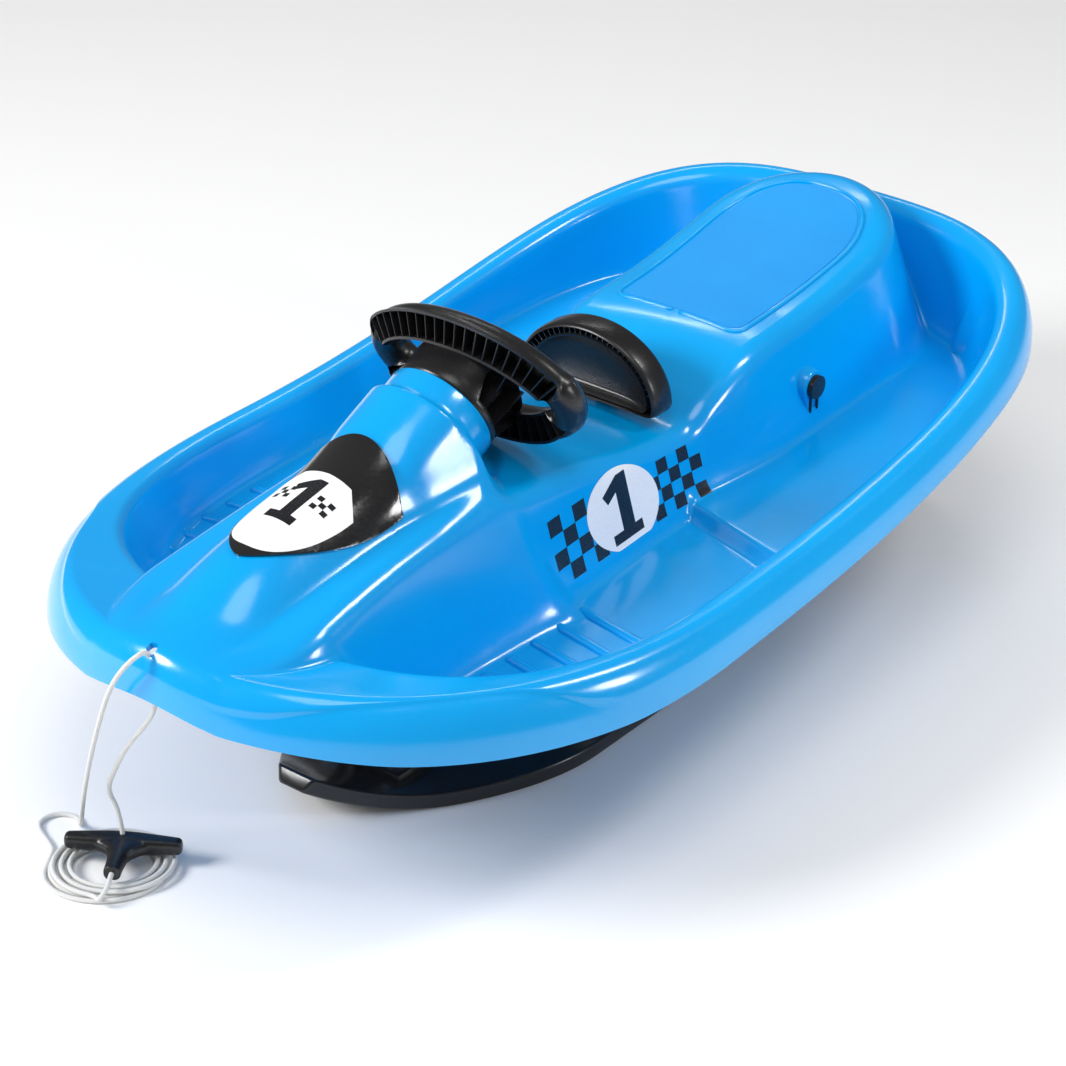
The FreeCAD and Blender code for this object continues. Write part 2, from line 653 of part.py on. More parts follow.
def steering_frame():
    plate = block("frame_plate", ("frame_rear_x", "frame_front_x"),
                  ("-frame_half_width", "frame_half_width"), ("frame_top - frame_thick", "frame_top"))
    tube = rod("frame_tube", "housing_dia", "housing_high - housing_low", x=kingpin_x, z="housing_low")
    legs = [block(f"frame_leg_{word}", ("frame_rear_x", "leg_front_x"), span, ("frame_top", "beam_high"))
            for word, span in (("left", ("leg_inner_y", "leg_inner_y + leg_thick")),
                               ("right", ("-leg_inner_y - leg_thick", "-leg_inner_y")))]
    beam = block("frame_beam", ("frame_rear_x", "leg_front_x"),
                 ("-leg_inner_y - leg_thick", "leg_inner_y + leg_thick"), ("beam_low", "beam_high"))
    saddle = block("frame_saddle", ("frame_rear_x", "leg_front_x"),
                   ("-saddle_half_width", "saddle_half_width"), ("beam_low", "saddle_high"))
    ring = leaned("frame_ring", rod("frame_ring_rod", "saddle_dia", "lower_bush_len",
                                    z="-lower_bush_start - lower_bush_len"))
    bush_way = leaned("frame_bush_way", rod("frame_bush_rod", "column_dia + 2 * bush_wall + 2 * fit_gap",
                                            "lower_bush_len + 8 * overrun",
                                            z="-lower_bush_start - lower_bush_len - 4 * overrun"))
    rooms = leaned("frame_rooms",
                   rod("crank_room", "saddle_dia + 2 * overrun", "lower_bush_start", z="-lower_bush_start"),
                   rod("clip_room", "saddle_dia + 2 * overrun", "2 * overrun",
                       z="-lower_bush_start - lower_bush_len - 2 * overrun"))
    pin_way = rod("frame_pin_way", "kingpin_dia + 2 * bush_wall + 2 * fit_gap",
                  "housing_high - housing_low + 2 * overrun", x=kingpin_x, z="housing_low - overrun")
    holes = [rod(f"frame_screw_way_{i}", "boss_hole_dia", "frame_thick + 2 * overrun", x=x, y=y,
                 z="frame_top - frame_thick - overrun") for i, (x, y) in enumerate(frame_bosses)]
    body = fuse("frame_body", plate, tube, beam, saddle, ring, *legs)
    node("steering_frame", cut("frame", body, bush_way, rooms, pin_way, *holes))
    screw_set("frame_screws", frame_bosses, "frame_top", "frame_thick")


def ski_blank():
    """The ski before its bolt holes: a bent strip, trimmed to its plan."""
    rise, run = size.ski_tip_rise, size.ski_tip_x - size.ski_flat_x
    bend = (run * run + rise * rise) / (2 * rise)

    def arc(lift):
        points = [Vector(size.ski_flat_x, 0, lift)]
        sweep = math.asin(run / bend)
        for part in (sweep / 2, sweep):
            points.append(Vector(size.ski_flat_x + (bend - lift) * math.sin(part), 0,
                                 bend - (bend - lift) * math.cos(part)))
        return points

    low, high = arc(0.0), arc(size.ski_thick)
    rear = [Vector(size.ski_rear_x, 0, z) for z in (0.0, size.ski_thick)]
    side = Part.Wire([Part.LineSegment(rear[0], low[0]).toShape(), Part.Arc(*low).toShape(),
                      Part.LineSegment(low[2], high[2]).toShape(), Part.Arc(*reversed(high)).toShape(),
                      Part.LineSegment(high[0], rear[1]).toShape(),
                      Part.LineSegment(rear[1], rear[0]).toShape()])
    strip = Part.Face(side).extrude(Y_AXIS * (2 * size.ski_half_width))
    strip.translate(Y_AXIS * -size.ski_half_width)
    count, waist_share = 10, 0.97
    nose = []
    for i in range(count + 1):
        q = i / count
        width = size.ski_half_width * waist_share * math.sin(math.pi / 2 * q)
        nose.append(Vector(size.ski_tip_x + size.ski_thick - size.ski_nose_run * q, width, 0))
    nose[0] = Vector(size.ski_tip_x + size.ski_thick, 0, 0)
    curve = Part.BSplineCurve()
    curve.interpolate(nose)
    corner = size.ski_rear_x + size.ski_rear_round
    back = [Vector(corner, size.ski_half_width, 0),
            Vector(size.ski_rear_x + size.ski_rear_round * (1 - math.sqrt(0.5)),
                   size.ski_half_width - size.ski_rear_round * (1 - math.sqrt(0.5)), 0),
            Vector(size.ski_rear_x, size.ski_half_width - size.ski_rear_round, 0)]
    left = [curve.toShape(), Part.LineSegment(nose[-1], back[0]).toShape(), Part.Arc(*back).toShape(),
            Part.LineSegment(back[2], Vector(size.ski_rear_x, 0, 0)).toShape()]
    right = [edge.mirror(Vector(), Y_AXIS) for edge in left]
    outline = Part.Wire(Part.__sortEdges__(left + right))
    plan = Part.Face(outline).extrude(Z_AXIS * (size.ski_tip_rise + 4 * size.ski_thick))
    return plain("ski_blank", strip.common(plan))


def steering_ski(blank, bolt_places):
    ways = [rod(f"ski_bolt_way_{i}", "bolt_dia", "2 * bolt_depth", x=x, y=y, z="ski_thick - bolt_depth")
            for i, (x, y) in enumerate(bolt_places)]
    node("steering_ski", cut("ski", blank, *ways))


def kingpin_pieces(ski):
    for label, low, flange_low in (
            ("kingpin_bush_lower", "housing_low", "housing_low - bush_flange"),
            ("kingpin_bush_upper", "housing_high - 2 * housing_dia / 3", "housing_high")):
        ring = rod(f"{label}_ring", "kingpin_dia + 2 * bush_wall", "2 * housing_dia / 3", x=kingpin_x, z=low)
        flange = rod(f"{label}_flange", "housing_dia", "bush_flange", x=kingpin_x, z=flange_low)
        way = rod(f"{label}_way", "kingpin_dia + 2 * fit_gap", "housing_high + 2 * bush_flange", x=kingpin_x)
        node(label, cut(f"{label}_body", fuse(f"{label}_blank", ring, flange), way))
    foot = rod("kingpin_foot", "bracket_dia - 2 * kingpin_flange", "kingpin_flange", x=kingpin_x,
               z="ski_thick + kingpin_flange")
    pin = rod("kingpin_rod", "kingpin_dia", "tiller_high + nut_thick - ski_thick - kingpin_flange",
              x=kingpin_x, z="ski_thick + kingpin_flange")
    node("kingpin", fuse("kingpin_body", pin, foot))
    front = f"{kingpin_x} + bracket_front"
    base = block("bracket_plate", (f"{front} - bracket_length", front),
                 ("-bracket_width / 2", "bracket_width / 2"), ("ski_thick", "ski_thick + bracket_base"))
    post = rod("bracket_post", "bracket_dia", "housing_low - bush_flange - ski_thick - fit_gap", x=kingpin_x,
               z="ski_thick")
    way = rod("bracket_way", "kingpin_dia", "housing_low", x=kingpin_x, z="ski_thick + kingpin_flange")
    pocket = rod("bracket_pocket", "bracket_dia - 2 * kingpin_flange", "kingpin_flange", x=kingpin_x,
                 z="ski_thick + kingpin_flange")
    places = [(x, f"{sign}(bracket_width / 2 - bolt_inset)")
              for x in (f"{front} - bolt_inset", f"{front} - bracket_length + bolt_inset")
              for sign in ("", "-")]
    ways = [rod(f"bracket_bolt_way_{i}", "bolt_dia", "bracket_base", x=x, y=y, z="ski_thick")
            for i, (x, y) in enumerate(places)]
    node("ski_bracket", cut("bracket", fuse("bracket_body", base, post), way, pocket, ski, *ways))
    bolts = []
    for i, (x, y) in enumerate(places):
        shank = rod(f"ski_bolt_shank_{i}", "bolt_dia", "bolt_depth + bracket_base", x=x, y=y,
                    z="ski_thick - bolt_depth")
        head = rod(f"ski_bolt_head_{i}", "bolt_head_dia", "bolt_head", x=x, y=y,
                   z="ski_thick + bracket_base")
        bolts.append(fuse(f"ski_bolt_{i}", shank, head))
    node("ski_bolts", group("ski_bolts", *bolts))
    return places


def tiller_pieces():
    hub = rod("tiller_hub", "tiller_hub_dia", "tiller_high - housing_high - bush_flange - fit_gap",
              x=kingpin_x, z="housing_high + bush_flange + fit_gap")
    bar = block("tiller_bar", (f"{kingpin_x} - tiller_reach - tiller_tail", kingpin_x),
                ("-tiller_width / 2", "tiller_width / 2"), ("tiller_low", "tiller_high"))
    way = rod("tiller_way", "kingpin_dia", "tiller_high", x=kingpin_x, z="housing_high")
    fork = block("tiller_fork", (f"{kingpin_x} - tiller_reach - 2 * tiller_tail",
                                 f"{kingpin_x} - tiller_reach + tiller_tail"),
                 ("-ball_dia / 2 - tiller_slack", "ball_dia / 2 + tiller_slack"),
                 ("tiller_low - overrun", "tiller_high + overrun"))
    node("tiller_arm", cut("tiller", fuse("tiller_body", hub, bar), way, fork))
    nut = primitive("Prism", "kingpin_nut_hex", {"Circumradius": "nut_dia / 2", "Height": "nut_thick"},
                    x=kingpin_x, z="tiller_high")
    nut_way = rod("kingpin_nut_way", "kingpin_dia", "2 * nut_thick", x=kingpin_x, z="tiller_high")
    node("kingpin_nut", cut("kingpin_nut_body", nut, nut_way))


def brake_pieces():
    sleeve = cross_rod("lever_sleeve", "sleeve_dia", "-sleeve_half_length", "sleeve_half_length",
                       "axle_x", "axle_z")
    arm = block("lever_arm", ("axle_x", "stem_front_x"), ("-arm_width / 2", "arm_width / 2"),
                ("axle_z - arm_tall / 2", "axle_z + arm_tall / 2"))
    stem = block("lever_stem", ("stem_rear_x", "stem_front_x"), ("-arm_width / 2", "arm_width / 2"),
                 ("axle_z - arm_tall / 2", "stem_top"))
    claw_arms = []
    for word, side in (("left", 1), ("right", -1)):
        middle = f"claw_arm_y * {side}"
        bar = block(f"claw_bar_{word}", ("-claw_arm_len", "0"),
                    (f"{middle} - claw_arm_width / 2", f"{middle} + claw_arm_width / 2"),
                    ("-claw_arm_tall / 2", "claw_arm_tall / 2"))
        claw_arms.append(bar)
    tail = place(group("claw_arms", *claw_arms), x="axle_x", z="axle_z", axis=Y_AXIS,
                 angle="-claw_arm_angle")
    way = cross_rod("lever_way", "axle_dia + 2 * fit_gap", "-sleeve_half_length - overrun",
                    "sleeve_half_length + overrun", "axle_x", "axle_z")
    screw_ways = [rod(f"stem_screw_way_{i}", "handle_screw_dia", "2 * arm_width", x="stem_rear_x - overrun",
                      z=f"handle_screw_low + handle_screw_pitch * {i}", axis=Y_AXIS, angle="90")
                  for i in range(2)]
    node("brake_lever", cut("lever", fuse("lever_body", sleeve, arm, stem, tail), way, *screw_ways))
    handle_piece()
    screws = []
    for i in range(2):
        z = f"handle_screw_low + handle_screw_pitch * {i}"
        shank = rod(f"handle_screw_shank_{i}", "handle_screw_dia",
                    "stem_front_x - stem_rear_x + handle_plate / 2 + handle_screw_head / 2",
                    x="stem_rear_x - handle_screw_head / 2", z=z, axis=Y_AXIS, angle="90")
        head = rod(f"handle_screw_head_{i}", "handle_screw_head_dia", "handle_screw_head",
                   x="stem_rear_x - handle_screw_head", z=z, axis=Y_AXIS, angle="90")
        screws.append(fuse(f"handle_screw_{i}", shank, head))
    node("handle_screws", group("handle_screws", *screws))
    claw_pieces()


def handle_oval(name, half_width, half_height, low, high):
    """An oval disc that stands across the sled between two X planes."""
    line = primitive("Ellipse", f"{name}_line", {"MajorRadius": half_width, "MinorRadius": half_height},
                     axis=Vector(1, 1, 1), angle="120", x=low, z="handle_mid_z")
    disc = doc.addObject("Part::Extrusion", name)
    disc.Base = line
    disc.DirMode = "Custom"
    disc.Dir = X_AXIS
    disc.Solid = True
    disc.setExpression("LengthFwd", formula(f"({high}) - ({low})"))
    return disc


def handle_piece():
    grip = handle_oval("grip_oval", "handle_half_width", "handle_half_height", "handle_rear_x",
                       "handle_front_x")
    hollow = handle_oval("grip_hollow", "handle_half_width - grip_thick", "handle_half_height - grip_thick",
                         "handle_rear_x + handle_plate", "handle_front_x + overrun")
    below = block("grip_below", ("handle_rear_x - overrun", "handle_front_x + overrun"),
                  ("-2 * handle_half_width", "2 * handle_half_width"),
                  ("handle_low - 2 * handle_half_height", "handle_low"))
    ways = [rod(f"handle_screw_way_{i}", "handle_screw_dia", "handle_plate / 2", x="handle_rear_x",
                z=f"handle_screw_low + handle_screw_pitch * {i}", axis=Y_AXIS, angle="90")
            for i in range(2)]
    node("brake_handle", cut("handle", grip, hollow, below, *ways))


def claw_pieces():
    """The toothed plate under the ends of the lever's rear arms, and its bolts."""
    top = "-claw_arm_tall / 2"
    plate = block("claw_plate", ("-claw_reach", "-claw_reach + claw_len"),
                  ("-claw_half_width", "claw_half_width"), (f"{top} - claw_thick", top))
    gaps = []
    pitch = 2 * size.tooth_width
    count = int(2 * size.claw_half_width // pitch)
    for i in range(count):
        middle = f"tooth_width * {2 * i - count + 1}"
        gaps.append(block(f"tooth_gap_{i}", ("-claw_reach - overrun", "-claw_reach + tooth_tall"),
                          (f"{middle} - tooth_width / 2", f"{middle} + tooth_width / 2"),
                          (f"{top} - claw_thick - overrun", f"{top} + overrun")))
    ways, bolts = [], []
    for word, side in (("left", 1), ("right", -1)):
        spot = {"x": "-claw_arm_len + claw_bolt_back / 2", "y": f"claw_arm_y * {side}"}
        ways.append(rod(f"claw_bolt_way_{word}", "claw_bolt_dia", "claw_thick", z=f"{top} - claw_thick",
                        **spot))
        head = rod(f"claw_bolt_head_{word}", "claw_bolt_head_dia", "claw_bolt_head",
                   z=f"{top} - claw_thick - claw_bolt_head", **spot)
        shank = rod(f"claw_bolt_shank_{word}", "claw_bolt_dia", "claw_thick", z=f"{top} - claw_thick", **spot)
        bolts.append(fuse(f"claw_bolt_{word}", head, shank))
    for label, piece in (("brake_claw", cut("claw", plate, *gaps, *ways)),
                         ("claw_bolts", group("claw_bolt_pair", *bolts))):
        node(label, place(piece, x="axle_x", z="axle_z", axis=Y_AXIS, angle="-claw_arm_angle"))


def axle_pieces(shell):
    node("brake_axle", cross_rod("axle_rod", "axle_dia", "-axle_half_length", "axle_half_length",
                                 "axle_x", "axle_z"))
    for word, side in (("left", 1), ("right", -1)):
        near, far = "axle_boss_outer + fit_gap", "axle_half_length + fit_gap + cap_plate_thick / 2"
        span = (near, far) if side > 0 else (f"-({far})", f"-({near})")
        disc = cross_rod(f"cap_disc_{word}", "cap_plate_dia", *span, "axle_x", "axle_z")
        inner = ("0", "axle_half_length + fit_gap") if side > 0 else ("-axle_half_length - fit_gap", "0")
        way = cross_rod(f"cap_way_{word}", "axle_dia + 2 * fit_gap", *inner, "axle_x", "axle_z")
        ring = cut(f"cap_ring_{word}", disc, way)
        node(f"axle_cap_{word}", cut(f"axle_cap_body_{word}", ring, shell))


def keel_wedge(name, low, high, bottom, top):
    """A tapered block: its X span and half width at the bottom, then at the top."""
    sizes = {"Ymin": low, "Ymax": high}
    for prop, (rear, front, side) in (("", bottom), ("2", top)):
        sizes.update({f"X{prop}min": rear, f"X{prop}max": front, f"Z{prop}min": f"-({side})",
                      f"Z{prop}max": side})
    return primitive("Wedge", name, sizes, axis=X_AXIS, angle="90")


def rear_keel():
    outer = keel_wedge("keel_outer", "0", "keel_high", ("keel_rear_x", "keel_front_x", "keel_half_width"),
                       ("keel_top_rear_x", "keel_top_front_x", "keel_top_half_width"))
    flange = block("keel_flange_plate", ("keel_top_rear_x", "keel_top_front_x"),
                   ("-keel_top_half_width - keel_flange", "keel_top_half_width + keel_flange"),
                   ("keel_high - keel_flange_thick", "keel_high"))
    hollow = keel_wedge("keel_hollow", "keel_wall", "keel_high",
                        ("keel_rear_x + keel_wall", "keel_front_x - keel_wall",
                         "keel_half_width - keel_wall"),
                        ("keel_top_rear_x + keel_wall", "keel_top_front_x - keel_wall",
                         "keel_top_half_width - keel_wall"))
    slot = block("claw_slot", ("claw_slot_rear_x", "claw_slot_front_x"),
                 ("-claw_slot_half_width", "claw_slot_half_width"), ("-overrun", "keel_wall + overrun"))
    holes = [rod(f"keel_screw_way_{i}", "boss_hole_dia", "keel_high", x=x, y=y)
             for i, (x, y) in enumerate(keel_bosses)]
    node("rear_keel", cut("keel", fuse("keel_body", outer, flange), hollow, slot, *holes))
    screw_set("keel_screws", keel_bosses, "keel_high", "keel_flange_thick")


# The rope: one length through the nose, both ends brought to a hand grip on a pile in front of the sled.

def arc_middle(start, way, end):
    """Middle of the arc that leaves a point in a direction and passes to another point."""
    line = end - start
    unit = Vector(line).normalize()
    lean = (way - unit * way.dot(unit)).normalize()
    return start + line * 0.5 + lean * (line.Length / 2 * math.tan(way.getAngle(line) / 2))


def biarc(start, start_way, end, end_way):
    """Two arcs that leave the first point and meet the second in the given directions."""
    chord = end - start
    bend = 2 * (1 - start_way.dot(end_way))
    reach = chord.dot(start_way + end_way)
    d = (math.sqrt(reach * reach + bend * chord.dot(chord)) - reach) / bend
    middle = (start + end + (start_way - end_way) * d) * 0.5
    return [Part.Arc(start, arc_middle(start, start_way, middle), middle).toShape(),
            Part.Arc(middle, arc_middle(end, end_way * -1, middle), end).toShape()]


def rope_route(points):
    """Straight runs joined by arcs that touch both."""
    share = 0.45
    edges, radii = [], []
    last = points[0]
    for before, here, after in zip(points, points[1:], points[2:]):
        back, on = before - here, after - here
        half_turn = (math.pi - back.getAngle(on)) / 2
        trim = share * min(back.Length, on.Length)
        a, b = here + back.normalize() * trim, here + on.normalize() * trim
        edges += [Part.LineSegment(last, a).toShape(),
                  Part.Arc(a, arc_middle(a, back * -1, b), b).toShape()]
        radii.append(trim / math.tan(half_turn))
        last = b
    edges.append(Part.LineSegment(last, points[-1]).toShape())
    return edges, radii


def rope_tube(label, edges):
    path = Part.Wire(edges)
    start = edges[0].valueAt(edges[0].FirstParameter)
    way = edges[0].tangentAt(edges[0].FirstParameter)
    ring = Part.Wire([Part.makeCircle(size.rope_dia / 2, start, way)])
    tube = path.makePipeShell([ring], True, False)
    full = math.pi * size.rope_dia ** 2 / 4 * path.Length
    print(f"{label}: length {path.Length:.0f} mm, volume share {tube.Volume / full:.4f}")
    return node(label, plain(label, tube))


# The pile: a spiral in on the floor, a climb in half a turn, a spiral out on top, a tail up to the grip.
pile_turns = 3
pile_start_angle = 300.0
pile_end_angle = 25.0
grip_heading = 212.0
lead_dias = 3.5


def pile_stops():
    """Points of the pile a quarter turn apart, with the rope's direction at each."""
    low = size.pile_floor + size.rope_dia / 2
    climb_from = pile_start_angle + 360.0 * pile_turns
    climb_to = climb_from + 180.0
    end = pile_end_angle + 360.0 * round((climb_to + 360.0 * pile_turns - pile_end_angle) / 360.0)

    def spot(angle):
        if angle < climb_from:
            q = (angle - pile_start_angle) / (climb_from - pile_start_angle)
            radius, z = size.pile_outer + (size.pile_inner - size.pile_outer) * q, low
        elif angle < climb_to:
            q = (angle - climb_from) / (climb_to - climb_from)
            radius, z = size.pile_inner, low + size.layer_rise * q * q * (3 - 2 * q)
        else:
            q = (angle - climb_to) / (end - climb_to)
            radius = size.pile_inner + (size.pile_outer - size.pile_inner) * q
            z = low + size.layer_rise
        turn = math.radians(angle)
        return Vector(size.pile_x + radius * math.cos(turn), size.pile_y + radius * math.sin(turn), z)

    count = round((end - pile_start_angle) / 90.0)
    small = 0.01
    stops = []
    for i in range(count + 1):
        angle = pile_start_angle + (end - pile_start_angle) * i / count
        way = (spot(min(angle + small, end)) - spot(max(angle - small, pile_start_angle))).normalize()
        stops.append((spot(angle), way))
    return stops


stops = pile_stops()
grip_way = Vector(math.cos(math.radians(grip_heading)), math.sin(math.radians(grip_heading)), 0)
tail_from = math.atan2(stops[-1][1].y, stops[-1][1].x)
tail_to = math.radians(grip_heading)
grip_start = stops[-1][0] + Vector(size.tail_radius * (math.sin(tail_to) - math.sin(tail_from)),
                                   size.tail_radius * (math.cos(tail_from) - math.cos(tail_to)),
                                   size.grip_height - stops[-1][0].z)
stem_face = grip_start + grip_way * size.rope_dia
grip_middle = stem_face + grip_way * size.grip_stem
pile_face = stops[0][0] - stops[0][1] * size.rope_dia


def strand(start, end, runs):
    """Points of a hang between two places, with a little sag to the front."""
    points = []
    for i in range(runs + 1):
        q = i / runs
        points.append(start + (end - start) * q + X_AXIS * (size.rope_sag * 4 * q * (1 - q)))
    return points


def floor_loop():
    """Corners round the loop that the rope makes on the floor before it joins the pile."""
    corners, first, last = 3, 143.0, 330.0
    step = (last - first) / corners
    reach = size.loop_radius / math.cos(math.radians(step / 2))
    points = []
    for i in range(corners):
        turn = math.radians(first + step * (i + 0.5))
        points.append(Vector(size.loop_x + reach * math.cos(turn), size.loop_y + reach * math.sin(turn),
                             stops[0][0].z))
    return points


def rope_pieces():
    hole = Vector(size.rope_hole_x, 0, size.rope_join_z)
    top = hole + Z_AXIS * size.rope_rise
    hang = Vector(size.rope_hang_x, size.rope_hang_y, size.rope_hang_z)
    touch = Vector(size.touch_x, size.touch_y, stops[0][0].z)
    lead = pile_face - stops[0][1] * (size.rope_dia * lead_dias)
    over = [hole, top, top + X_AXIS * size.rope_reach] + strand(hang, touch, 4) + floor_loop()
    under_end = Vector(size.under_end_x, size.under_end_y, size.under_end_z)
    entry = grip_middle + Z_AXIS * (size.grip_dia / 2)
    under = [hole, hole - Z_AXIS * size.under_drop]
    under += strand(Vector(size.rope_hole_x, size.under_y, size.under_z), under_end, 3)
    under += [entry + Z_AXIS * size.grip_lead, entry]
    for label, points in (("tow_rope_top", over + [lead, pile_face]), ("tow_rope_under", under)):
        edges, radii = rope_route(points)
        print(label, "bend radii", [round(radius, 1) for radius in radii])
        rope_tube(label, edges)
    edges = [Part.LineSegment(pile_face, stops[0][0]).toShape()]
    for (a, a_way), (b, b_way) in zip(stops, stops[1:]):
        edges += biarc(a, a_way, b, b_way)
    edges += biarc(*stops[-1], grip_start, grip_way)
    edges.append(Part.LineSegment(grip_start, stem_face).toShape())
    rope_tube("tow_rope_pile", edges)
    print(f"pile: least gap to itself {self_gap(edges):.2f} mm")


def self_gap(edges):
    """Least clear distance between parts of the pile's tube that are a half turn or more apart."""
    step = size.rope_dia / 4
    path = Part.Wire(edges)
    points = path.discretize(Distance=step)
    skip = int(math.pi * size.pile_inner / step)
    least = min(a.distanceToPoint(b) for i, a in enumerate(points) for b in points[i + skip:])
    return least - size.rope_dia


def tow_handle():
    across = grip_way.cross(Z_AXIS)
    stem = Part.makeCylinder(size.grip_stem_dia / 2, size.grip_stem, stem_face, grip_way)
    bar = Part.makeCylinder(size.grip_dia / 2, size.grip_length,
                            grip_middle - across * (size.grip_length / 2), across)
    return node("tow_handle", plain("tow_grip", stem.fuse(bar)))


shell = sled_shell()
badge_panel()
steering_wheel()
column_pieces()
column_bushes()
crank_pieces()
steering_frame()
ski = ski_blank()
steering_ski(ski, kingpin_pieces(ski))
tiller_pieces()
brake_pieces()
axle_pieces(shell)
rear_keel()
rope_pieces()
tow_handle()
doc.recompute()

for obj in doc.Objects:
    if {"Invalid", "Error"} & set(obj.State):
        raise RuntimeError(f"{obj.Name} is in state {obj.State}")
for obj in nodes:
    if obj.Shape.isNull() or not obj.Shape.isValid():
        raise RuntimeError(f"{obj.Label} has no sound shape")

os.makedirs("parts", exist_ok=True)
for obj in nodes:
    obj.Shape.exportStep(f"parts/{obj.Label}.step")
    box = obj.Shape.BoundBox
    print(f"{obj.Label}: {len(obj.Shape.Solids)} solids, volume {obj.Shape.Volume / 1000:.1f} cm3, "
          f"x {box.XMin:.1f} {box.XMax:.1f} y {box.YMin:.1f} {box.YMax:.1f} z {box.ZMin:.1f} {box.ZMax:.1f}")
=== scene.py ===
import json
import math

import bmesh
import bpy
import numpy as np
from mathutils import Matrix, Vector

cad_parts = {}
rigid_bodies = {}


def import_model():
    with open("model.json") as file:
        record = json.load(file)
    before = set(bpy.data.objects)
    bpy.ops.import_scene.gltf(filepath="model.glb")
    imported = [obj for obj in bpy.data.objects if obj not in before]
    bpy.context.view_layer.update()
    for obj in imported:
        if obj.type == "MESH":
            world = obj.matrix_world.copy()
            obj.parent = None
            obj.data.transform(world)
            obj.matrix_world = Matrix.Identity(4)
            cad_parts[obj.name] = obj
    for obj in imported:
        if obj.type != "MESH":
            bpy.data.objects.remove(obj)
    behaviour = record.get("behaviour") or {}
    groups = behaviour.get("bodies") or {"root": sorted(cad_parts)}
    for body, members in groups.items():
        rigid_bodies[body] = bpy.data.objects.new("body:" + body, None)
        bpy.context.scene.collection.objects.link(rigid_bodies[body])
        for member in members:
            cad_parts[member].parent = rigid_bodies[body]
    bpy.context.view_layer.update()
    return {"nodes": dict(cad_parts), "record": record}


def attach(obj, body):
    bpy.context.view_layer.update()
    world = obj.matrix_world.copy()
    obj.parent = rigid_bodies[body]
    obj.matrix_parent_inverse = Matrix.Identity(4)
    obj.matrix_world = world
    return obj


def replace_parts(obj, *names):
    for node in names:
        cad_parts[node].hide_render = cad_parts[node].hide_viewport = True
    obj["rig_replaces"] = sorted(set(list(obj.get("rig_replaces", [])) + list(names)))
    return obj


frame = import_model()
nodes = frame["nodes"]
scene = bpy.context.scene
metre = 0.001  # the sizes below are in millimetres, the meshes in metres
print("frame loaded:", len(nodes), "nodes")


# materials


def addNode(tree, kind, inputs=None, **settings):
    node = tree.nodes.new(kind)
    for key, value in settings.items():
        setattr(node, key, value)
    for key, value in (inputs or {}).items():
        node.inputs[key].default_value = value
    return node


def newMaterial(name):
    material = bpy.data.materials.new(name)
    material.use_nodes = True
    tree = material.node_tree
    return material, tree, tree.nodes["Principled BSDF"]


plasticLooks = {
    "bluePlastic": {
        "dark": (0.0, 0.35, 0.82), "light": (0.0, 0.385, 0.87), "cloudScale": 6,
        "grainScale": 240, "rough": (0.16, 0.22), "bump": 0.012, "coat": 0.4, "coatRough": 0.09,
    },
    "seatPlastic": {
        "dark": (0.0, 0.29, 0.77), "light": (0.0, 0.32, 0.81), "cloudScale": 9,
        "grainScale": 700, "rough": (0.46, 0.56), "bump": 0.12, "coat": 0.04, "coatRough": 0.4,
    },
    "blackPlastic": {
        "dark": (0.009, 0.009, 0.01), "light": (0.013, 0.013, 0.014), "cloudScale": 14,
        "grainScale": 620, "rough": (0.27, 0.36), "bump": 0.07, "coat": 0.12, "coatRough": 0.2,
    },
    "skiPlastic": {
        "dark": (0.01, 0.01, 0.011), "light": (0.014, 0.014, 0.015), "cloudScale": 16,
        "grainScale": 240, "rough": (0.2, 0.27), "bump": 0.02, "coat": 0.15, "coatRough": 0.2,
        "stretch": (0.12, 1, 1),
    },
    "badgePlastic": {
        "dark": (0.012, 0.012, 0.013), "light": (0.016, 0.016, 0.017), "cloudScale": 10,
        "grainScale": 300, "rough": (0.12, 0.2), "bump": 0.03, "coat": 0.4, "coatRough": 0.06,
    },
    "bushPlastic": {
        "dark": (0.6, 0.6, 0.56), "light": (0.7, 0.7, 0.66), "cloudScale": 20,
        "grainScale": 500, "rough": (0.35, 0.5), "bump": 0.08, "coat": 0.05, "coatRough": 0.3,
    },
    "stickerWhite": {
        "dark": (0.88, 0.89, 0.9), "light": (0.93, 0.93, 0.94), "cloudScale": 18,
        "grainScale": 900, "rough": (0.22, 0.32), "bump": 0.04, "coat": 0.2, "coatRough": 0.15,
    },
    "stickerBlack": {
        "dark": (0.008, 0.009, 0.012), "light": (0.014, 0.015, 0.018), "cloudScale": 18,
        "grainScale": 900, "rough": (0.24, 0.34), "bump": 0.04, "coat": 0.2, "coatRough": 0.15,
    },
}


plasticGrain = {"ramp": (0.35, 0.65), "span": (0.3, 0.7), "cloudDetail": 3, "grainDetail": 2, "deep": 0.0004}


def toneRamp(tree, value, shader, shades, places=(0, 1)):
    tone = addNode(tree, "ShaderNodeValToRGB")
    for element, spot, shade in zip(tone.color_ramp.elements, places, shades):
        element.position, element.color = spot, (*shade, 1)
    tree.links.new(value, tone.inputs["Fac"])
    tree.links.new(tone.outputs["Color"], shader.inputs["Base Color"])


def roughRange(tree, value, shader, rough, span=(0, 1)):
    gloss = addNode(tree, "ShaderNodeMapRange", {"From Min": span[0], "From Max": span[1], "To Min": rough[0],
                                                 "To Max": rough[1]})
    tree.links.new(value, gloss.inputs["Value"])
    tree.links.new(gloss.outputs["Result"], shader.inputs["Roughness"])


def addBump(tree, value, shader, strength, deep):
    bump = addNode(tree, "ShaderNodeBump", {"Strength": strength, "Distance": deep})
    tree.links.new(value, bump.inputs["Height"])
    tree.links.new(bump.outputs["Normal"], shader.inputs["Normal"])


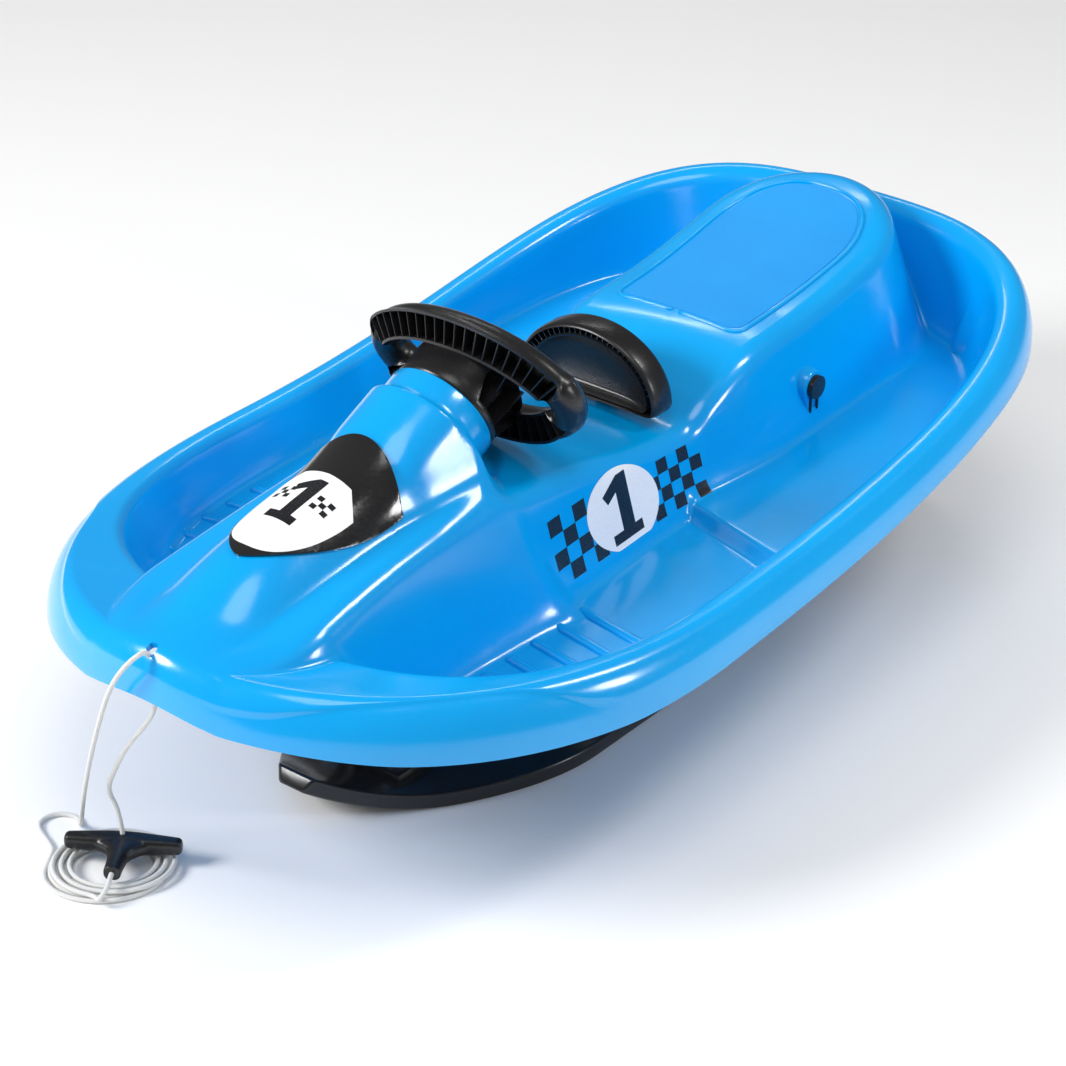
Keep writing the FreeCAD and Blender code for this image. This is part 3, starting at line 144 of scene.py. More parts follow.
def plastic(name):
    look = plasticLooks[name]
    material, tree, shader = newMaterial(name)
    link = tree.links.new
    coords = addNode(tree, "ShaderNodeTexCoord")
    turn = addNode(tree, "ShaderNodeMapping", {"Scale": look.get("stretch", (1, 1, 1))})
    link(coords.outputs["Object"], turn.inputs["Vector"])
    clouds, grains = [addNode(tree, "ShaderNodeTexNoise", {"Scale": look[word + "Scale"],
                                                           "Detail": plasticGrain[word + "Detail"]})
                      for word in ("cloud", "grain")]
    for texture in (clouds, grains):
        link(turn.outputs["Vector"], texture.inputs["Vector"])
    grain = grains.outputs["Fac"]
    toneRamp(tree, clouds.outputs["Fac"], shader, (look["dark"], look["light"]), plasticGrain["ramp"])
    roughRange(tree, grain, shader, look["rough"], plasticGrain["span"])
    addBump(tree, grain, shader, look["bump"], plasticGrain["deep"])
    shader.inputs["Coat Weight"].default_value = look["coat"]
    shader.inputs["Coat Roughness"].default_value = look["coatRough"]
    return material


zinc = {"scale": 180.0, "shades": ((0.5, 0.5, 0.51), (0.68, 0.68, 0.7)), "rough": (0.24, 0.4)}


def zincSteel():
    material, tree, shader = newMaterial("zincSteel")
    coords = addNode(tree, "ShaderNodeTexCoord")
    spangle = addNode(tree, "ShaderNodeTexVoronoi", {"Scale": zinc["scale"]})
    tree.links.new(coords.outputs["Object"], spangle.inputs["Vector"])
    toneRamp(tree, spangle.outputs["Distance"], shader, zinc["shades"])
    roughRange(tree, spangle.outputs["Distance"], shader, zinc["rough"])
    shader.inputs["Metallic"].default_value = 1.0
    return material


braid = {
    "lean": 45, "scale": 1.6, "distortion": 0.4, "shades": ((0.5, 0.5, 0.49), (0.8, 0.8, 0.78)),
    "places": (0, 0.6), "bump": 0.5, "deep": 0.0004, "rough": 0.6, "sheen": 0.25,
}


def braidedCord():
    material, tree, shader = newMaterial("braidedCord")
    link = tree.links.new
    uv = addNode(tree, "ShaderNodeUVMap", uv_map="braid")
    strands = addNode(tree, "ShaderNodeMath", operation="MAXIMUM")
    for i, way in enumerate((1, -1)):  # two families of strands that cross
        turn = addNode(tree, "ShaderNodeMapping", {"Rotation": (0, 0, way * math.radians(braid["lean"]))})
        wave = addNode(tree, "ShaderNodeTexWave", {"Scale": braid["scale"],
                                                   "Distortion": braid["distortion"]})
        link(uv.outputs["UV"], turn.inputs["Vector"])
        link(turn.outputs["Vector"], wave.inputs["Vector"])
        link(wave.outputs["Fac"], strands.inputs[i])
    toneRamp(tree, strands.outputs["Value"], shader, braid["shades"], braid["places"])
    addBump(tree, strands.outputs["Value"], shader, braid["bump"], braid["deep"])
    shader.inputs["Roughness"].default_value = braid["rough"]
    shader.inputs["Sheen Weight"].default_value = braid["sheen"]
    return material


finishes = {name: plastic(name) for name in plasticLooks}
finishes["zincSteel"] = zincSteel()
finishes["braidedCord"] = braidedCord()
print("materials:", len(finishes))


# mesh helpers

bothSides = (("Left", 1), ("Right", -1))
weldGap = 1e-6  # metres


def fullTurn(count):
    return np.linspace(0, 2 * math.pi, count, endpoint=False)


def runLengths(points):
    return np.concatenate([[0], np.cumsum(np.linalg.norm(np.diff(points, axis=0), axis=1))])


def newObject(name, mesh, finish):
    obj = bpy.data.objects.new(name, mesh)
    scene.collection.objects.link(obj)
    if finish:
        mesh.materials.clear()
        mesh.materials.append(finishes[finish])
    return obj


def meshObject(name, points, faces, finish):
    mesh = bpy.data.meshes.new(name)
    mesh.from_pydata((np.asarray(points, dtype=float) * metre).tolist(), [], faces)
    bm = bmesh.new()
    bm.from_mesh(mesh)
    bmesh.ops.remove_doubles(bm, verts=bm.verts, dist=weldGap)
    bmesh.ops.recalc_face_normals(bm, faces=bm.faces)
    bm.to_mesh(mesh)
    bm.free()
    mesh.shade_smooth()
    return newObject(name, mesh, finish)


def bakeModifiers(obj, finish=None):
    graph = bpy.context.evaluated_depsgraph_get()
    graph.update()
    mesh = bpy.data.meshes.new_from_object(obj.evaluated_get(graph))
    obj.modifiers.clear()
    obj.data = mesh
    if finish:
        mesh.materials.clear()
        mesh.materials.append(finishes[finish])
    return obj


def soften(obj, width, segments, degrees=30, finish=None):
    modifier = obj.modifiers.new("soften", "BEVEL")
    modifier.width, modifier.segments = width * metre, segments
    modifier.limit_method, modifier.angle_limit = "ANGLE", math.radians(degrees)
    return bakeModifiers(obj, finish)


def softEdges(obj, degrees=35):
    obj.data.shade_smooth()
    obj.data.set_sharp_from_angle(angle=math.radians(degrees))
    return obj


def combine(obj, other, operation):
    modifier = obj.modifiers.new("combine", "BOOLEAN")
    modifier.operation = operation
    modifier.solver = "MANIFOLD"
    modifier.object = other
    bakeModifiers(obj)
    bpy.data.objects.remove(other)
    return obj


def gridFaces(rows, columns, start=0, closed=False):
    faces = []
    for i in range(rows - 1):
        for k in range(columns if closed else columns - 1):
            after = (k + 1) % columns
            a, b = start + i * columns, start + (i + 1) * columns
            faces.append((a + k, a + after, b + after, b + k))
    return faces


def loft(name, rings, finish, endless=False):
    count = len(rings[0])
    points = [p for ring in rings for p in ring]
    faces = gridFaces(len(rings), count, closed=True)
    last = len(points) - count
    if endless:
        faces += [(last + k, last + (k + 1) % count, (k + 1) % count, k) for k in range(count)]
    else:
        faces += [tuple(reversed(range(count))), tuple(range(last, len(points)))]
    return meshObject(name, points, faces, finish)


def boxBlank(name, sizes, shift=(0, 0, 0), edge=0):
    blank = bmesh.new()
    bmesh.ops.create_cube(blank, size=1)
    for v in blank.verts:
        v.co = Vector([shift[k] + v.co[k] * sizes[k] for k in range(3)]) * metre
    if edge:
        bmesh.ops.bevel(blank, geom=blank.edges[:], offset=edge * metre, segments=2, affect="EDGES")
    mesh = bpy.data.meshes.new(name)
    blank.to_mesh(mesh)
    blank.free()
    return newObject(name, mesh, None)


def place(obj, body, slot, *replaced):
    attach(obj, body)
    if replaced:
        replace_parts(obj, *replaced)
    return obj


def moveTo(obj, matrix):
    obj.data.transform(matrix)
    return obj


# geometry nodes


def nodeTree(name, inputs):
    tree = bpy.data.node_groups.new(name, "GeometryNodeTree")
    for label, kind in inputs:
        tree.interface.new_socket(label, in_out="INPUT", socket_type=kind)
    tree.interface.new_socket("Geometry", in_out="OUTPUT", socket_type="NodeSocketGeometry")
    return tree, tree.nodes.new("NodeGroupInput"), tree.nodes.new("NodeGroupOutput")


def spreadRibs(tree, source, output, points, rotation=None):
    link = tree.links.new
    rib = addNode(tree, "GeometryNodeObjectInfo")
    spread = addNode(tree, "GeometryNodeInstanceOnPoints")
    realize = addNode(tree, "GeometryNodeRealizeInstances")
    paint = addNode(tree, "GeometryNodeSetMaterial")
    link(source.outputs["Rib"], rib.inputs["Object"])
    link(points, spread.inputs["Points"])
    link(rib.outputs["Geometry"], spread.inputs["Instance"])
    if rotation:
        link(rotation, spread.inputs["Rotation"])
    link(spread.outputs["Instances"], realize.inputs["Geometry"])
    link(realize.outputs["Geometry"], paint.inputs["Geometry"])
    link(source.outputs["Finish"], paint.inputs["Material"])
    link(paint.outputs["Geometry"], output.inputs["Geometry"])


def runTree(name, tree, values, finish):
    holder = newObject(name, bpy.data.meshes.new(name), None)
    modifier = holder.modifiers.new("nodes", "NODES")
    modifier.node_group = tree
    for item in tree.interface.items_tree:
        if item.in_out == "INPUT":
            modifier[item.identifier] = finishes[finish] if item.name == "Finish" else values[item.name]
    bakeModifiers(holder)
    return holder


def rowTree():
    tree, source, output = nodeTree("ribRow", [
        ("Rib", "NodeSocketObject"), ("Count", "NodeSocketInt"), ("Start", "NodeSocketVector"),
        ("Pitch", "NodeSocketVector"), ("Finish", "NodeSocketMaterial")])
    link = tree.links.new
    line = addNode(tree, "GeometryNodeMeshLine", mode="OFFSET")
    link(source.outputs["Count"], line.inputs["Count"])
    link(source.outputs["Start"], line.inputs["Start Location"])
    link(source.outputs["Pitch"], line.inputs["Offset"])
    spreadRibs(tree, source, output, line.outputs["Mesh"])
    return tree


def arcTree():
    tree, source, output = nodeTree("ribArc", [
        ("Rib", "NodeSocketObject"), ("Count", "NodeSocketInt"), ("Start", "NodeSocketFloat"),
        ("Sweep", "NodeSocketFloat"), ("Half Sizes", "NodeSocketVector"), ("Finish", "NodeSocketMaterial")])
    link = tree.links.new
    arc = addNode(tree, "GeometryNodeCurveArc", {"Radius": 1.0, "Resolution": 128}, mode="RADIUS")
    link(source.outputs["Start"], arc.inputs["Start Angle"])
    link(source.outputs["Sweep"], arc.inputs["Sweep Angle"])
    oval = addNode(tree, "GeometryNodeTransform")
    link(arc.outputs["Curve"], oval.inputs["Geometry"])
    link(source.outputs["Half Sizes"], oval.inputs["Scale"])
    spots = addNode(tree, "GeometryNodeCurveToPoints", mode="COUNT")
    link(oval.outputs["Geometry"], spots.inputs["Curve"])
    link(source.outputs["Count"], spots.inputs["Count"])
    turn = addNode(tree, "FunctionNodeAxesToRotation", {"Primary Axis": (0, 0, 1)}, primary_axis="Z",
                   secondary_axis="X")
    link(spots.outputs["Tangent"], turn.inputs["Secondary Axis"])
    spreadRibs(tree, source, output, spots.outputs["Points"], turn.outputs["Rotation"])
    return tree


ribRow = rowTree()
ribArc = arcTree()
print("node groups:", len(bpy.data.node_groups))


# the shell's surface

shell = {
    "length": 966, "width": 539.9, "wall": 4, "straightRun": 200, "lipOut": 20, "lipDrop": 38,
    "rimFlat": 4, "rimRound": 12, "sheerLow": 189, "sheerLowX": 80, "noseRise": 33, "tailRise": 76,
    "wellFront": 392, "sideWallAngle": 77, "frontWallAngle": 52, "floorHeight": 139, "floorFillet": 24,
    "stepX": -37, "stepStart": 124, "stepRise": 12, "stepRun": 12, "stepSkew": 0.28, "rearSlope": 0.045,
    "humpHeight": 112, "humpHalfWidth": 75, "humpCrown": 4, "humpRound": 20, "humpAngle": 74,
    "humpTailX": -335, "humpTailRun": 82, "humpNoseX": 372, "humpNoseRun": 85,
    "hoodRound": 50, "hoodAngle": 66, "hoodBlend": 20, "hoodEndBlend": 8, "hoodEnd": 77,
    "hoodSideBlend": 34, "hoodSideFrom": 52, "hoodSideRun": 26, "hoodSideForward": 26,
    "noseExponent": 2.2, "wellExponent": 2.6, "tailExponent": 3.2, "spine": 0.54,
    "stations": 320, "lipRows": 22, "lipOuterRows": 13, "innerRows": 100, "underStep": 6, "turnWeight": 22,
    "lipUnderStep": 3, "rimSamples": 800, "lineSamples": 500,
    "wheelX": 95, "wheelZ": 308, "tilt": 25, "dishRadius": 68, "dishDepth": 3.5, "dishEdge": 9,
}
humpShares = [
    (1.0, 0.7), (0.881, 0.777), (0.8, 0.848), (0.676, 0.929), (0.525, 0.991), (0.41, 0.982),
    (0.266, 0.911), (0.082, 0.786), (0.0, 0.714), (-0.082, 0.668), (-0.148, 0.668), (-0.2, 0.79),
    (-0.268, 0.929), (-0.326, 1.0), (-0.471, 1.045), (-0.584, 1.107), (-0.711, 1.205),
    (-0.82, 1.32), (-1.0, 1.42),
]
hoodShares = [
    (1.0, 0.6), (0.963, 0.723), (0.881, 0.911), (0.783, 1.098), (0.676, 1.205), (0.561, 1.3),
    (0.497, 1.4), (0.458, 1.5), (0.393, 1.63), (0.354, 1.705), (0.266, 1.87), (-1.0, 1.9),
]
humpSideShares = [
    (1.0, 1.0), (0.8, 0.92), (0.65, 0.86), (0.525, 0.84), (0.266, 0.86), (0.0, 0.89), (-0.148, 0.95),
    (-0.326, 1.0), (-1.0, 1.0),
]
lipShares = [
    (1.0, 1.0), (0.93, 1.05), (0.8, 1.18), (0.5, 1.18), (0.37, 1.1), (0.2, 1.0), (-0.2, 0.92),
    (-0.38, 0.86), (-0.55, 0.84), (-0.75, 0.94), (-1.0, 1.0),
]
creaseShares = [  # where the crease on the front lip runs, as shares of the lip's quarter turn
    (1.0, 0.6), (0.93, 0.55), (0.889, 0.355), (0.843, 0.18), (0.768, 0.08), (0.673, 0.08), (0.615, 0.265),
    (0.535, 0.57), (0.4, 0.6), (-1.0, 0.6),
]
crease = {
    "depth": 1.7, "run": 0.1, "from": 0.5, "to": 0.965, "fade": 0.05, "leastTurn": 0.04,
    "stepShares": (1, 0.67, 0.33),
}
cuts = {
    "x": (-116, -66), "y": (-12, 12), "z": (190, 268),
    "ropeX": 470, "ropeZ": 210, "ropeDia": 9, "ropeDeep": 80, "ropeSides": 32,
}  # the slot of the brake handle and the rope's hole
halfLength = shell["length"] / 2
halfWidth = shell["width"] / 2
halfRun = shell["straightRun"] / 2
tilt = math.radians(shell["tilt"])


def smoothMax(a, b, blend):
    return np.maximum(a, b) + np.maximum(blend - np.abs(a - b), 0) ** 2 / (4 * blend)


def smoothStep(q):
    q = np.clip(q, 0, 1)
    return q * q * (3 - 2 * q)


def roundedDrop(run, radius, degrees):
    slope = np.radians(degrees)
    turn = radius * np.sin(slope)
    bend = radius - np.sqrt(radius ** 2 - np.clip(run, 0, turn) ** 2)
    return bend + np.maximum(run - turn, 0) * np.tan(slope)


def along(shares, share):
    xs = np.array([pair[0] for pair in reversed(shares)])
    values = np.array([pair[1] for pair in reversed(shares)])
    low, high = np.arange(len(xs)) - 1, np.arange(len(xs)) + 1
    low, high = np.maximum(low, 0), np.minimum(high, len(xs) - 1)
    slopes = (values[high] - values[low]) / (xs[high] - xs[low])
    share = np.clip(share, xs[0], xs[-1])
    i = np.clip(np.searchsorted(xs, share) - 1, 0, len(xs) - 2)
    step = xs[i + 1] - xs[i]
    q = (share - xs[i]) / step
    return (values[i] * (1 + 2 * q) * (1 - q) ** 2 + slopes[i] * step * q * (1 - q) ** 2
            + values[i + 1] * q * q * (3 - 2 * q) + slopes[i + 1] * step * q * q * (q - 1))


def insideOval(x, y, front, tail, side, frontExponent):
    ahead = x > 0
    tiny = 1e-9
    run = np.maximum(np.where(ahead, x - halfRun, -halfRun - x), 0)
    reach = np.where(ahead, front, tail)
    power = np.where(ahead, frontExponent, shell["tailExponent"])
    a, b = np.maximum(run / reach, tiny), np.maximum(np.abs(y) / side, tiny)
    g = (a ** power + b ** power) ** (1 / power)
    ga, gb = (a / g) ** (power - 1) / reach, (b / g) ** (power - 1) / side
    size = np.hypot(ga, gb)
    straight = run <= 0
    depth = np.where(straight, side - np.abs(y), (1 - g) / size)
    return depth, np.where(straight | ~ahead, 0, ga / size)


def sheer(x):
    ahead = x > shell["sheerLowX"]
    run = halfLength - shell["lipOut"] + np.where(ahead, -shell["sheerLowX"], shell["sheerLowX"])
    rise = np.where(ahead, shell["noseRise"], shell["tailRise"])
    return shell["sheerLow"] + rise * ((x - shell["sheerLowX"]) / run) ** 2


def rimSurface(x, y):
    inset = shell["lipOut"] + shell["rimFlat"]
    depth, facing = insideOval(x, y, shell["wellFront"] - halfRun, halfLength - halfRun - inset,
                               halfWidth - inset, shell["wellExponent"])
    angle = shell["sideWallAngle"] + (shell["frontWallAngle"] - shell["sideWallAngle"]) * facing ** 2
    return sheer(x) - roundedDrop(depth, shell["rimRound"], angle)


def floorSurface(x, y):
    step = shell["stepX"] + shell["stepSkew"] * (np.abs(y) - shell["stepStart"])
    return (shell["floorHeight"] + shell["stepRise"] * smoothStep((step - x) / shell["stepRun"])
            + shell["rearSlope"] * np.maximum(step - x, 0))


def humpSurface(x, y):
    share = x / halfLength
    top = shell["floorHeight"] + shell["humpHeight"] * along(humpShares, share)
    side = shell["humpHalfWidth"] * along(humpSideShares, share)
    run = np.abs(y) - side
    tail = (np.hypot((x - shell["humpTailX"]) / shell["humpTailRun"], y / side) - 1) * side
    nose = (np.hypot((x - shell["humpNoseX"]) / shell["humpNoseRun"], y / side) - 1) * side
    run = np.where(x < shell["humpTailX"], tail, np.where(x > shell["humpNoseX"], nose, run))
    crown = shell["humpCrown"] * np.minimum(np.abs(y) / side, 1) ** 2
    return top - crown - roundedDrop(run, shell["humpRound"], shell["humpAngle"])


def axisPoint(depth, lift=0.0):
    return (shell["wheelX"] + depth * math.cos(tilt) + lift * math.sin(tilt),
            shell["wheelZ"] - depth * math.sin(tilt) + lift * math.cos(tilt))


def lowSide(y):
    return smoothStep((np.abs(y) - shell["hoodSideFrom"]) / shell["hoodSideRun"])


def hoodSurface(x, y):
    top = shell["floorHeight"] + shell["humpHeight"] * along(hoodShares, x / halfLength)
    top = top - roundedDrop(np.abs(y), shell["hoodRound"], shell["hoodAngle"])
    endX, endZ = axisPoint(shell["hoodEnd"])
    end = endZ + (x - endX - shell["hoodSideForward"] * lowSide(y)) / math.tan(tilt)
    return -smoothMax(-top, -end, shell["hoodEndBlend"] + shell["hoodSideBlend"] * lowSide(y))


def skinHeight(x, y):
    tub = smoothMax(floorSurface(x, y), rimSurface(x, y), shell["floorFillet"])
    hump = humpSurface(x, y)
    # the round dish that the wheel turns over, behind the hood
    depth = (x - shell["wheelX"]) * math.cos(tilt) - (hump - shell["wheelZ"]) * math.sin(tilt)
    lift = (x - shell["wheelX"]) * math.sin(tilt) + (hump - shell["wheelZ"]) * math.cos(tilt)
    inside = smoothStep((shell["dishRadius"] - np.hypot(lift, y)) / shell["dishEdge"])
    hump = hump - shell["dishDepth"] * inside * smoothStep((shell["hoodEnd"] - depth) / shell["dishEdge"])
    body = smoothMax(hump, hoodSurface(x, y), shell["hoodBlend"] + shell["hoodSideBlend"] * lowSide(y))
    return smoothMax(tub, body, shell["floorFillet"])


def skinSpot(x, y):
    probe = 0.4
    dx = (skinHeight(x + probe, y) - skinHeight(x - probe, y)) / (2 * probe)
    dy = (skinHeight(x, y + probe) - skinHeight(x, y - probe)) / (2 * probe)
    normal = np.stack([-dx, -dy, np.ones_like(dx)], axis=-1)
    normal /= np.linalg.norm(normal, axis=-1, keepdims=True)
    return np.stack([x, y, skinHeight(x, y)], axis=-1), normal


def rimLine(count):
    turn = np.linspace(0, math.pi / 2, shell["rimSamples"])
    reach, side = halfLength - halfRun - shell["lipOut"], halfWidth - shell["lipOut"]
    nose, tail = 2 / shell["noseExponent"], 2 / shell["tailExponent"]
    front = np.stack([halfRun + reach * np.cos(turn) ** nose, side * np.sin(turn) ** nose], axis=-1)
    back = np.stack([-halfRun - reach * np.cos(turn) ** tail, side * np.sin(turn) ** tail], axis=-1)
    line = np.concatenate([front, back[::-1]])
    line[0, 1] = line[-1, 1] = 0
    lengths = runLengths(line)
    goals = np.linspace(0, lengths[-1], count + 1)
    crest = np.stack([np.interp(goals, lengths, line[:, 0]), np.interp(goals, lengths, line[:, 1])], axis=-1)
    tangent = np.gradient(crest, axis=0)
    normal = np.stack([tangent[:, 1], -tangent[:, 0]], axis=-1)
    normal /= np.linalg.norm(normal, axis=1, keepdims=True)
    normal[0], normal[-1] = (1, 0), (-1, 0)
    if normal[count // 2, 1] < 0:
        normal[1:-1] *= -1
    return crest, normal


def lipTurns(share):
    turn = max(float(along(creaseShares, share)), crease["leastTurn"])
    outer = np.linspace(1, turn + crease["run"], shell["lipOuterRows"], endpoint=False)
    step = [turn + crease["run"] * q for q in crease["stepShares"]]
    inner = np.linspace(turn, 0, shell["lipRows"] - len(outer) - len(step), endpoint=False)
    turns = np.concatenate([outer, step, inner])
    shown = smoothStep((share - crease["from"]) / crease["fade"])
    shown *= smoothStep((crease["to"] - share) / crease["fade"])
    sink = smoothStep((turns - turn) / crease["run"]) * smoothStep((1 - turns) / (1 - turn - crease["run"]))
    return turns * math.pi / 2, crease["depth"] * shown * sink


def shellRows():
    crest, outward = rimLine(shell["stations"])
    points, normals = [], []
    for i, ((x, y), (nx, ny)) in enumerate(zip(crest, outward)):
        share = along(lipShares, np.array(x / halfLength))
        lipOut, lipDrop = shell["lipOut"] * share, shell["lipDrop"] * share
        lipTurn, sink = lipTurns(x / halfLength)
        top = skinHeight(np.array(x), np.array(y))
        lip = np.stack([x + nx * lipOut * np.sin(lipTurn), y + ny * lipOut * np.sin(lipTurn),
                        top - lipDrop * (1 - np.cos(lipTurn))], axis=-1)
        face = np.stack([nx * np.sin(lipTurn) / lipOut, ny * np.sin(lipTurn) / lipOut,
                         np.cos(lipTurn) / lipDrop], axis=-1)
        face /= np.linalg.norm(face, axis=1, keepdims=True)
        lip -= face * sink[:, None]
        spineX = shell["spine"] * halfLength * (1 - 2 * i / shell["stations"])
        q = np.linspace(0, 1, shell["lineSamples"])
        fine, fineNormal = skinSpot(x + (spineX - x) * q, y * (1 - q))
        steps = np.linalg.norm(np.diff(fine, axis=0), axis=1)
        turns = np.arccos(np.clip(np.sum(fineNormal[1:] * fineNormal[:-1], axis=1), -1, 1))
        weight = np.concatenate([[0], np.cumsum(steps + shell["turnWeight"] * turns)])
        place = np.interp(np.linspace(0, weight[-1], shell["innerRows"] + 1), weight, q)
        inner, innerNormal = skinSpot(x + (spineX - x) * place, y * (1 - place))
        points.append(np.concatenate([lip, inner]))
        normals.append(np.concatenate([face, innerNormal]))
    return np.array(points), np.array(normals)


def buildShell():
    points, normals = shellRows()
    rows, columns = points.shape[:2]
    keep = list(range(0, shell["lipRows"], shell["lipUnderStep"]))  # fewer rows beneath
    keep += sorted({*range(shell["lipRows"], columns, shell["underStep"]), columns - 1})
    under = (points - normals * shell["wall"])[:, keep]
    under[0, :, 1] = under[-1, :, 1] = 0
    under[:, -1, 1] = 0
    allPoints, allFaces = [], []
    for side in (1, -1):
        flip = np.array([1, side, 1])
        for grid in (points, under):
            allFaces += gridFaces(grid.shape[0], grid.shape[1], start=len(allPoints))
            allPoints += (grid * flip).reshape(-1, 3).tolist()
        top = len(allPoints) - rows * (columns + len(keep))
        low = len(allPoints) - rows * len(keep)
        for i in range(rows - 1):
            allFaces.append((top + i * columns, top + (i + 1) * columns,
                             low + (i + 1) * len(keep), low + i * len(keep)))
    body = meshObject("sledShell", allPoints, allFaces, "bluePlastic")
    spans = [cuts[axis] for axis in "xyz"]
    cutter = boxBlank("shellCuts", [high - low for low, high in spans],
                      [(low + high) / 2 for low, high in spans])
    bm = bmesh.new()
    bm.from_mesh(cutter.data)
    radius = cuts["ropeDia"] / 2 * metre
    bmesh.ops.create_cone(bm, cap_ends=True, segments=cuts["ropeSides"], radius1=radius, radius2=radius,
                          depth=cuts["ropeDeep"] * metre,
                          matrix=Matrix.Translation(Vector((cuts["ropeX"], 0, cuts["ropeZ"])) * metre))
    bm.to_mesh(cutter.data)
    bm.free()
    combine(body, cutter, "DIFFERENCE")
    return softEdges(body)


sledShell = place(buildShell(), "sled", "shell", "sled_shell")
print("shell:", len(sledShell.data.polygons), "faces")


# pieces on the shell

trim = {
    "ribCount": 5, "ribFirstX": 124, "ribPitch": 30, "ribInnerY": 120, "ribOuterY": 216, "ribLean": 16,
    "ribRadius": 5.5, "ribStand": 3.6, "ribSunk": 1.6, "ribTip": 0.3, "ribSides": 16, "ribEndSteps": 6,
    "collarDia": 94, "collarStart": 54, "collarEnd": 84, "collarWall": 4, "collarSides": 96,
    "seatFrontX": -168, "seatRearX": -402, "seatHalfWidth": 68, "seatTailShare": 0.36, "seatCorner": 12,
    "seatTaper": 3, "seatGap": 4, "seatTailPowers": (0.9, 0.8), "seatSteps": 40, "seatCornerSteps": 8,
    "seatFrontSteps": 9, "beadRadius": 1.9, "beadLift": 0.2, "panelInset": 4, "panelLift": 0.5,
    "axleX": -217, "axleZ": 196, "bossDia": 27, "bossEnd": 112.4, "bossSides": 48, "gussetLow": 158,
    "gussetNarrow": 0.35,
    "legHalf": 5, "legLow": 172, "legTop": 190, "legWide": 2, "legDeep": 2.2, "legSunk": 2, "legLift": 0.5,
    "legTipShare": 0.5, "legTipHigh": 1,
}
bossProfile = [(28.4, 2), (8, 2), (2, 0.6), (0.5, 0), (0, -0.8)]  # depth under the end face, added radius


def steeringPlace():
    turn = Matrix.Rotation(math.radians(shell["tilt"] - 90), 4, "Y")
    return Matrix.Translation(Vector((shell["wheelX"], 0, shell["wheelZ"])) * metre) @ turn


def ribBlank():
    length = math.hypot(trim["ribOuterY"] - trim["ribInnerY"], trim["ribLean"])
    turns = np.linspace(0, math.pi / 2, trim["ribEndSteps"])[1:]
    ends = [(0.0, trim["ribTip"])]
    ends += [(trim["ribRadius"] * (1 - math.cos(t)), trim["ribRadius"] * math.sin(t)) for t in turns]
    rings = [[(radius * math.cos(a), s, max(radius * math.sin(a), -trim["ribSunk"]))
              for a in fullTurn(trim["ribSides"])]
             for s, radius in ends + [(length - s, radius) for s, radius in reversed(ends)]]
    return loft("ribBlank", rings, "bluePlastic")


def buildFootRibs():
    lean = math.atan2(trim["ribLean"], trim["ribOuterY"] - trim["ribInnerY"])
    low = shell["floorHeight"] + trim["ribStand"] - trim["ribRadius"]
    for word, side in bothSides:
        blank = ribBlank()
        turn = -lean if side > 0 else math.pi + lean
        moveTo(blank, Matrix.Rotation(turn, 4, "Z"))
        ribs = runTree("footRibs" + word, ribRow, {
            "Rib": blank, "Count": trim["ribCount"],
            "Start": Vector((trim["ribFirstX"], trim["ribInnerY"] * side, low)) * metre,
            "Pitch": Vector((trim["ribPitch"], 0, 0)) * metre}, "bluePlastic")
        bpy.data.objects.remove(blank)
        ribs.data.shade_smooth()
        place(ribs, "sled", "shell")


def buildCollar():
    outer, wall = trim["collarDia"] / 2, trim["collarWall"]
    start, end = trim["collarStart"], trim["collarEnd"]
    profile = [  # radius, then depth along the column: bore, rounded mouth, outside, flare into the hood
        (outer - wall, end), (outer - wall, start + 1), (outer - wall + 1, start), (outer - 1.6, start),
        (outer - 0.5, start + 0.5), (outer, start + 1.6), (outer, end - 14), (outer + 0.5, end - 10),
        (outer + 2, end - 7), (outer + 4, end - 5), (outer + 4, end)]
    rings = [[(r * math.cos(a), r * math.sin(a), -d) for r, d in profile]
             for a in fullTurn(trim["collarSides"])]
    collar = loft("columnCollar", rings, "bluePlastic", endless=True)
    moveTo(collar, steeringPlace())
    place(softEdges(collar, degrees=50), "sled", "shell")


def seatOutline(inset):
    rear, front, half = trim["seatRearX"] + inset, trim["seatFrontX"] - inset, trim["seatHalfWidth"] - inset
    corner, taper, count = trim["seatCorner"], trim["seatTaper"], trim["seatSteps"]
    longPower, widePower = trim["seatTailPowers"]
    tail = (front - rear) * trim["seatTailShare"]
    left = [(front - corner + corner * math.sin(t), half - corner + corner * math.cos(t) - taper)
            for t in np.linspace(math.pi / 2, 0, trim["seatCornerSteps"])]
    for q in np.linspace(0, 1, count)[1:]:
        left.append((front - corner - (front - rear - tail - corner) * q, half - taper * (1 - q)))
    for t in np.linspace(0, math.pi / 2, count)[1:]:
        left.append((rear + tail - tail * math.sin(t) ** longPower, half * math.cos(t) ** widePower))
    left[-1] = (rear, 0.0)
    return left + [(x, -y) for x, y in reversed(left[:-1])]


def seatLine():
    loop = seatOutline(0)
    front, gap = trim["seatFrontX"], trim["seatGap"]
    lead = [(front, y) for y in np.linspace(gap, loop[0][1], trim["seatFrontSteps"])[:-1]]
    return lead + loop + [(x, -y) for x, y in reversed(lead)]


def skinLift(outline, lift):
    spot, normal = skinSpot(*np.array(outline, float).T)
    return spot + normal * lift


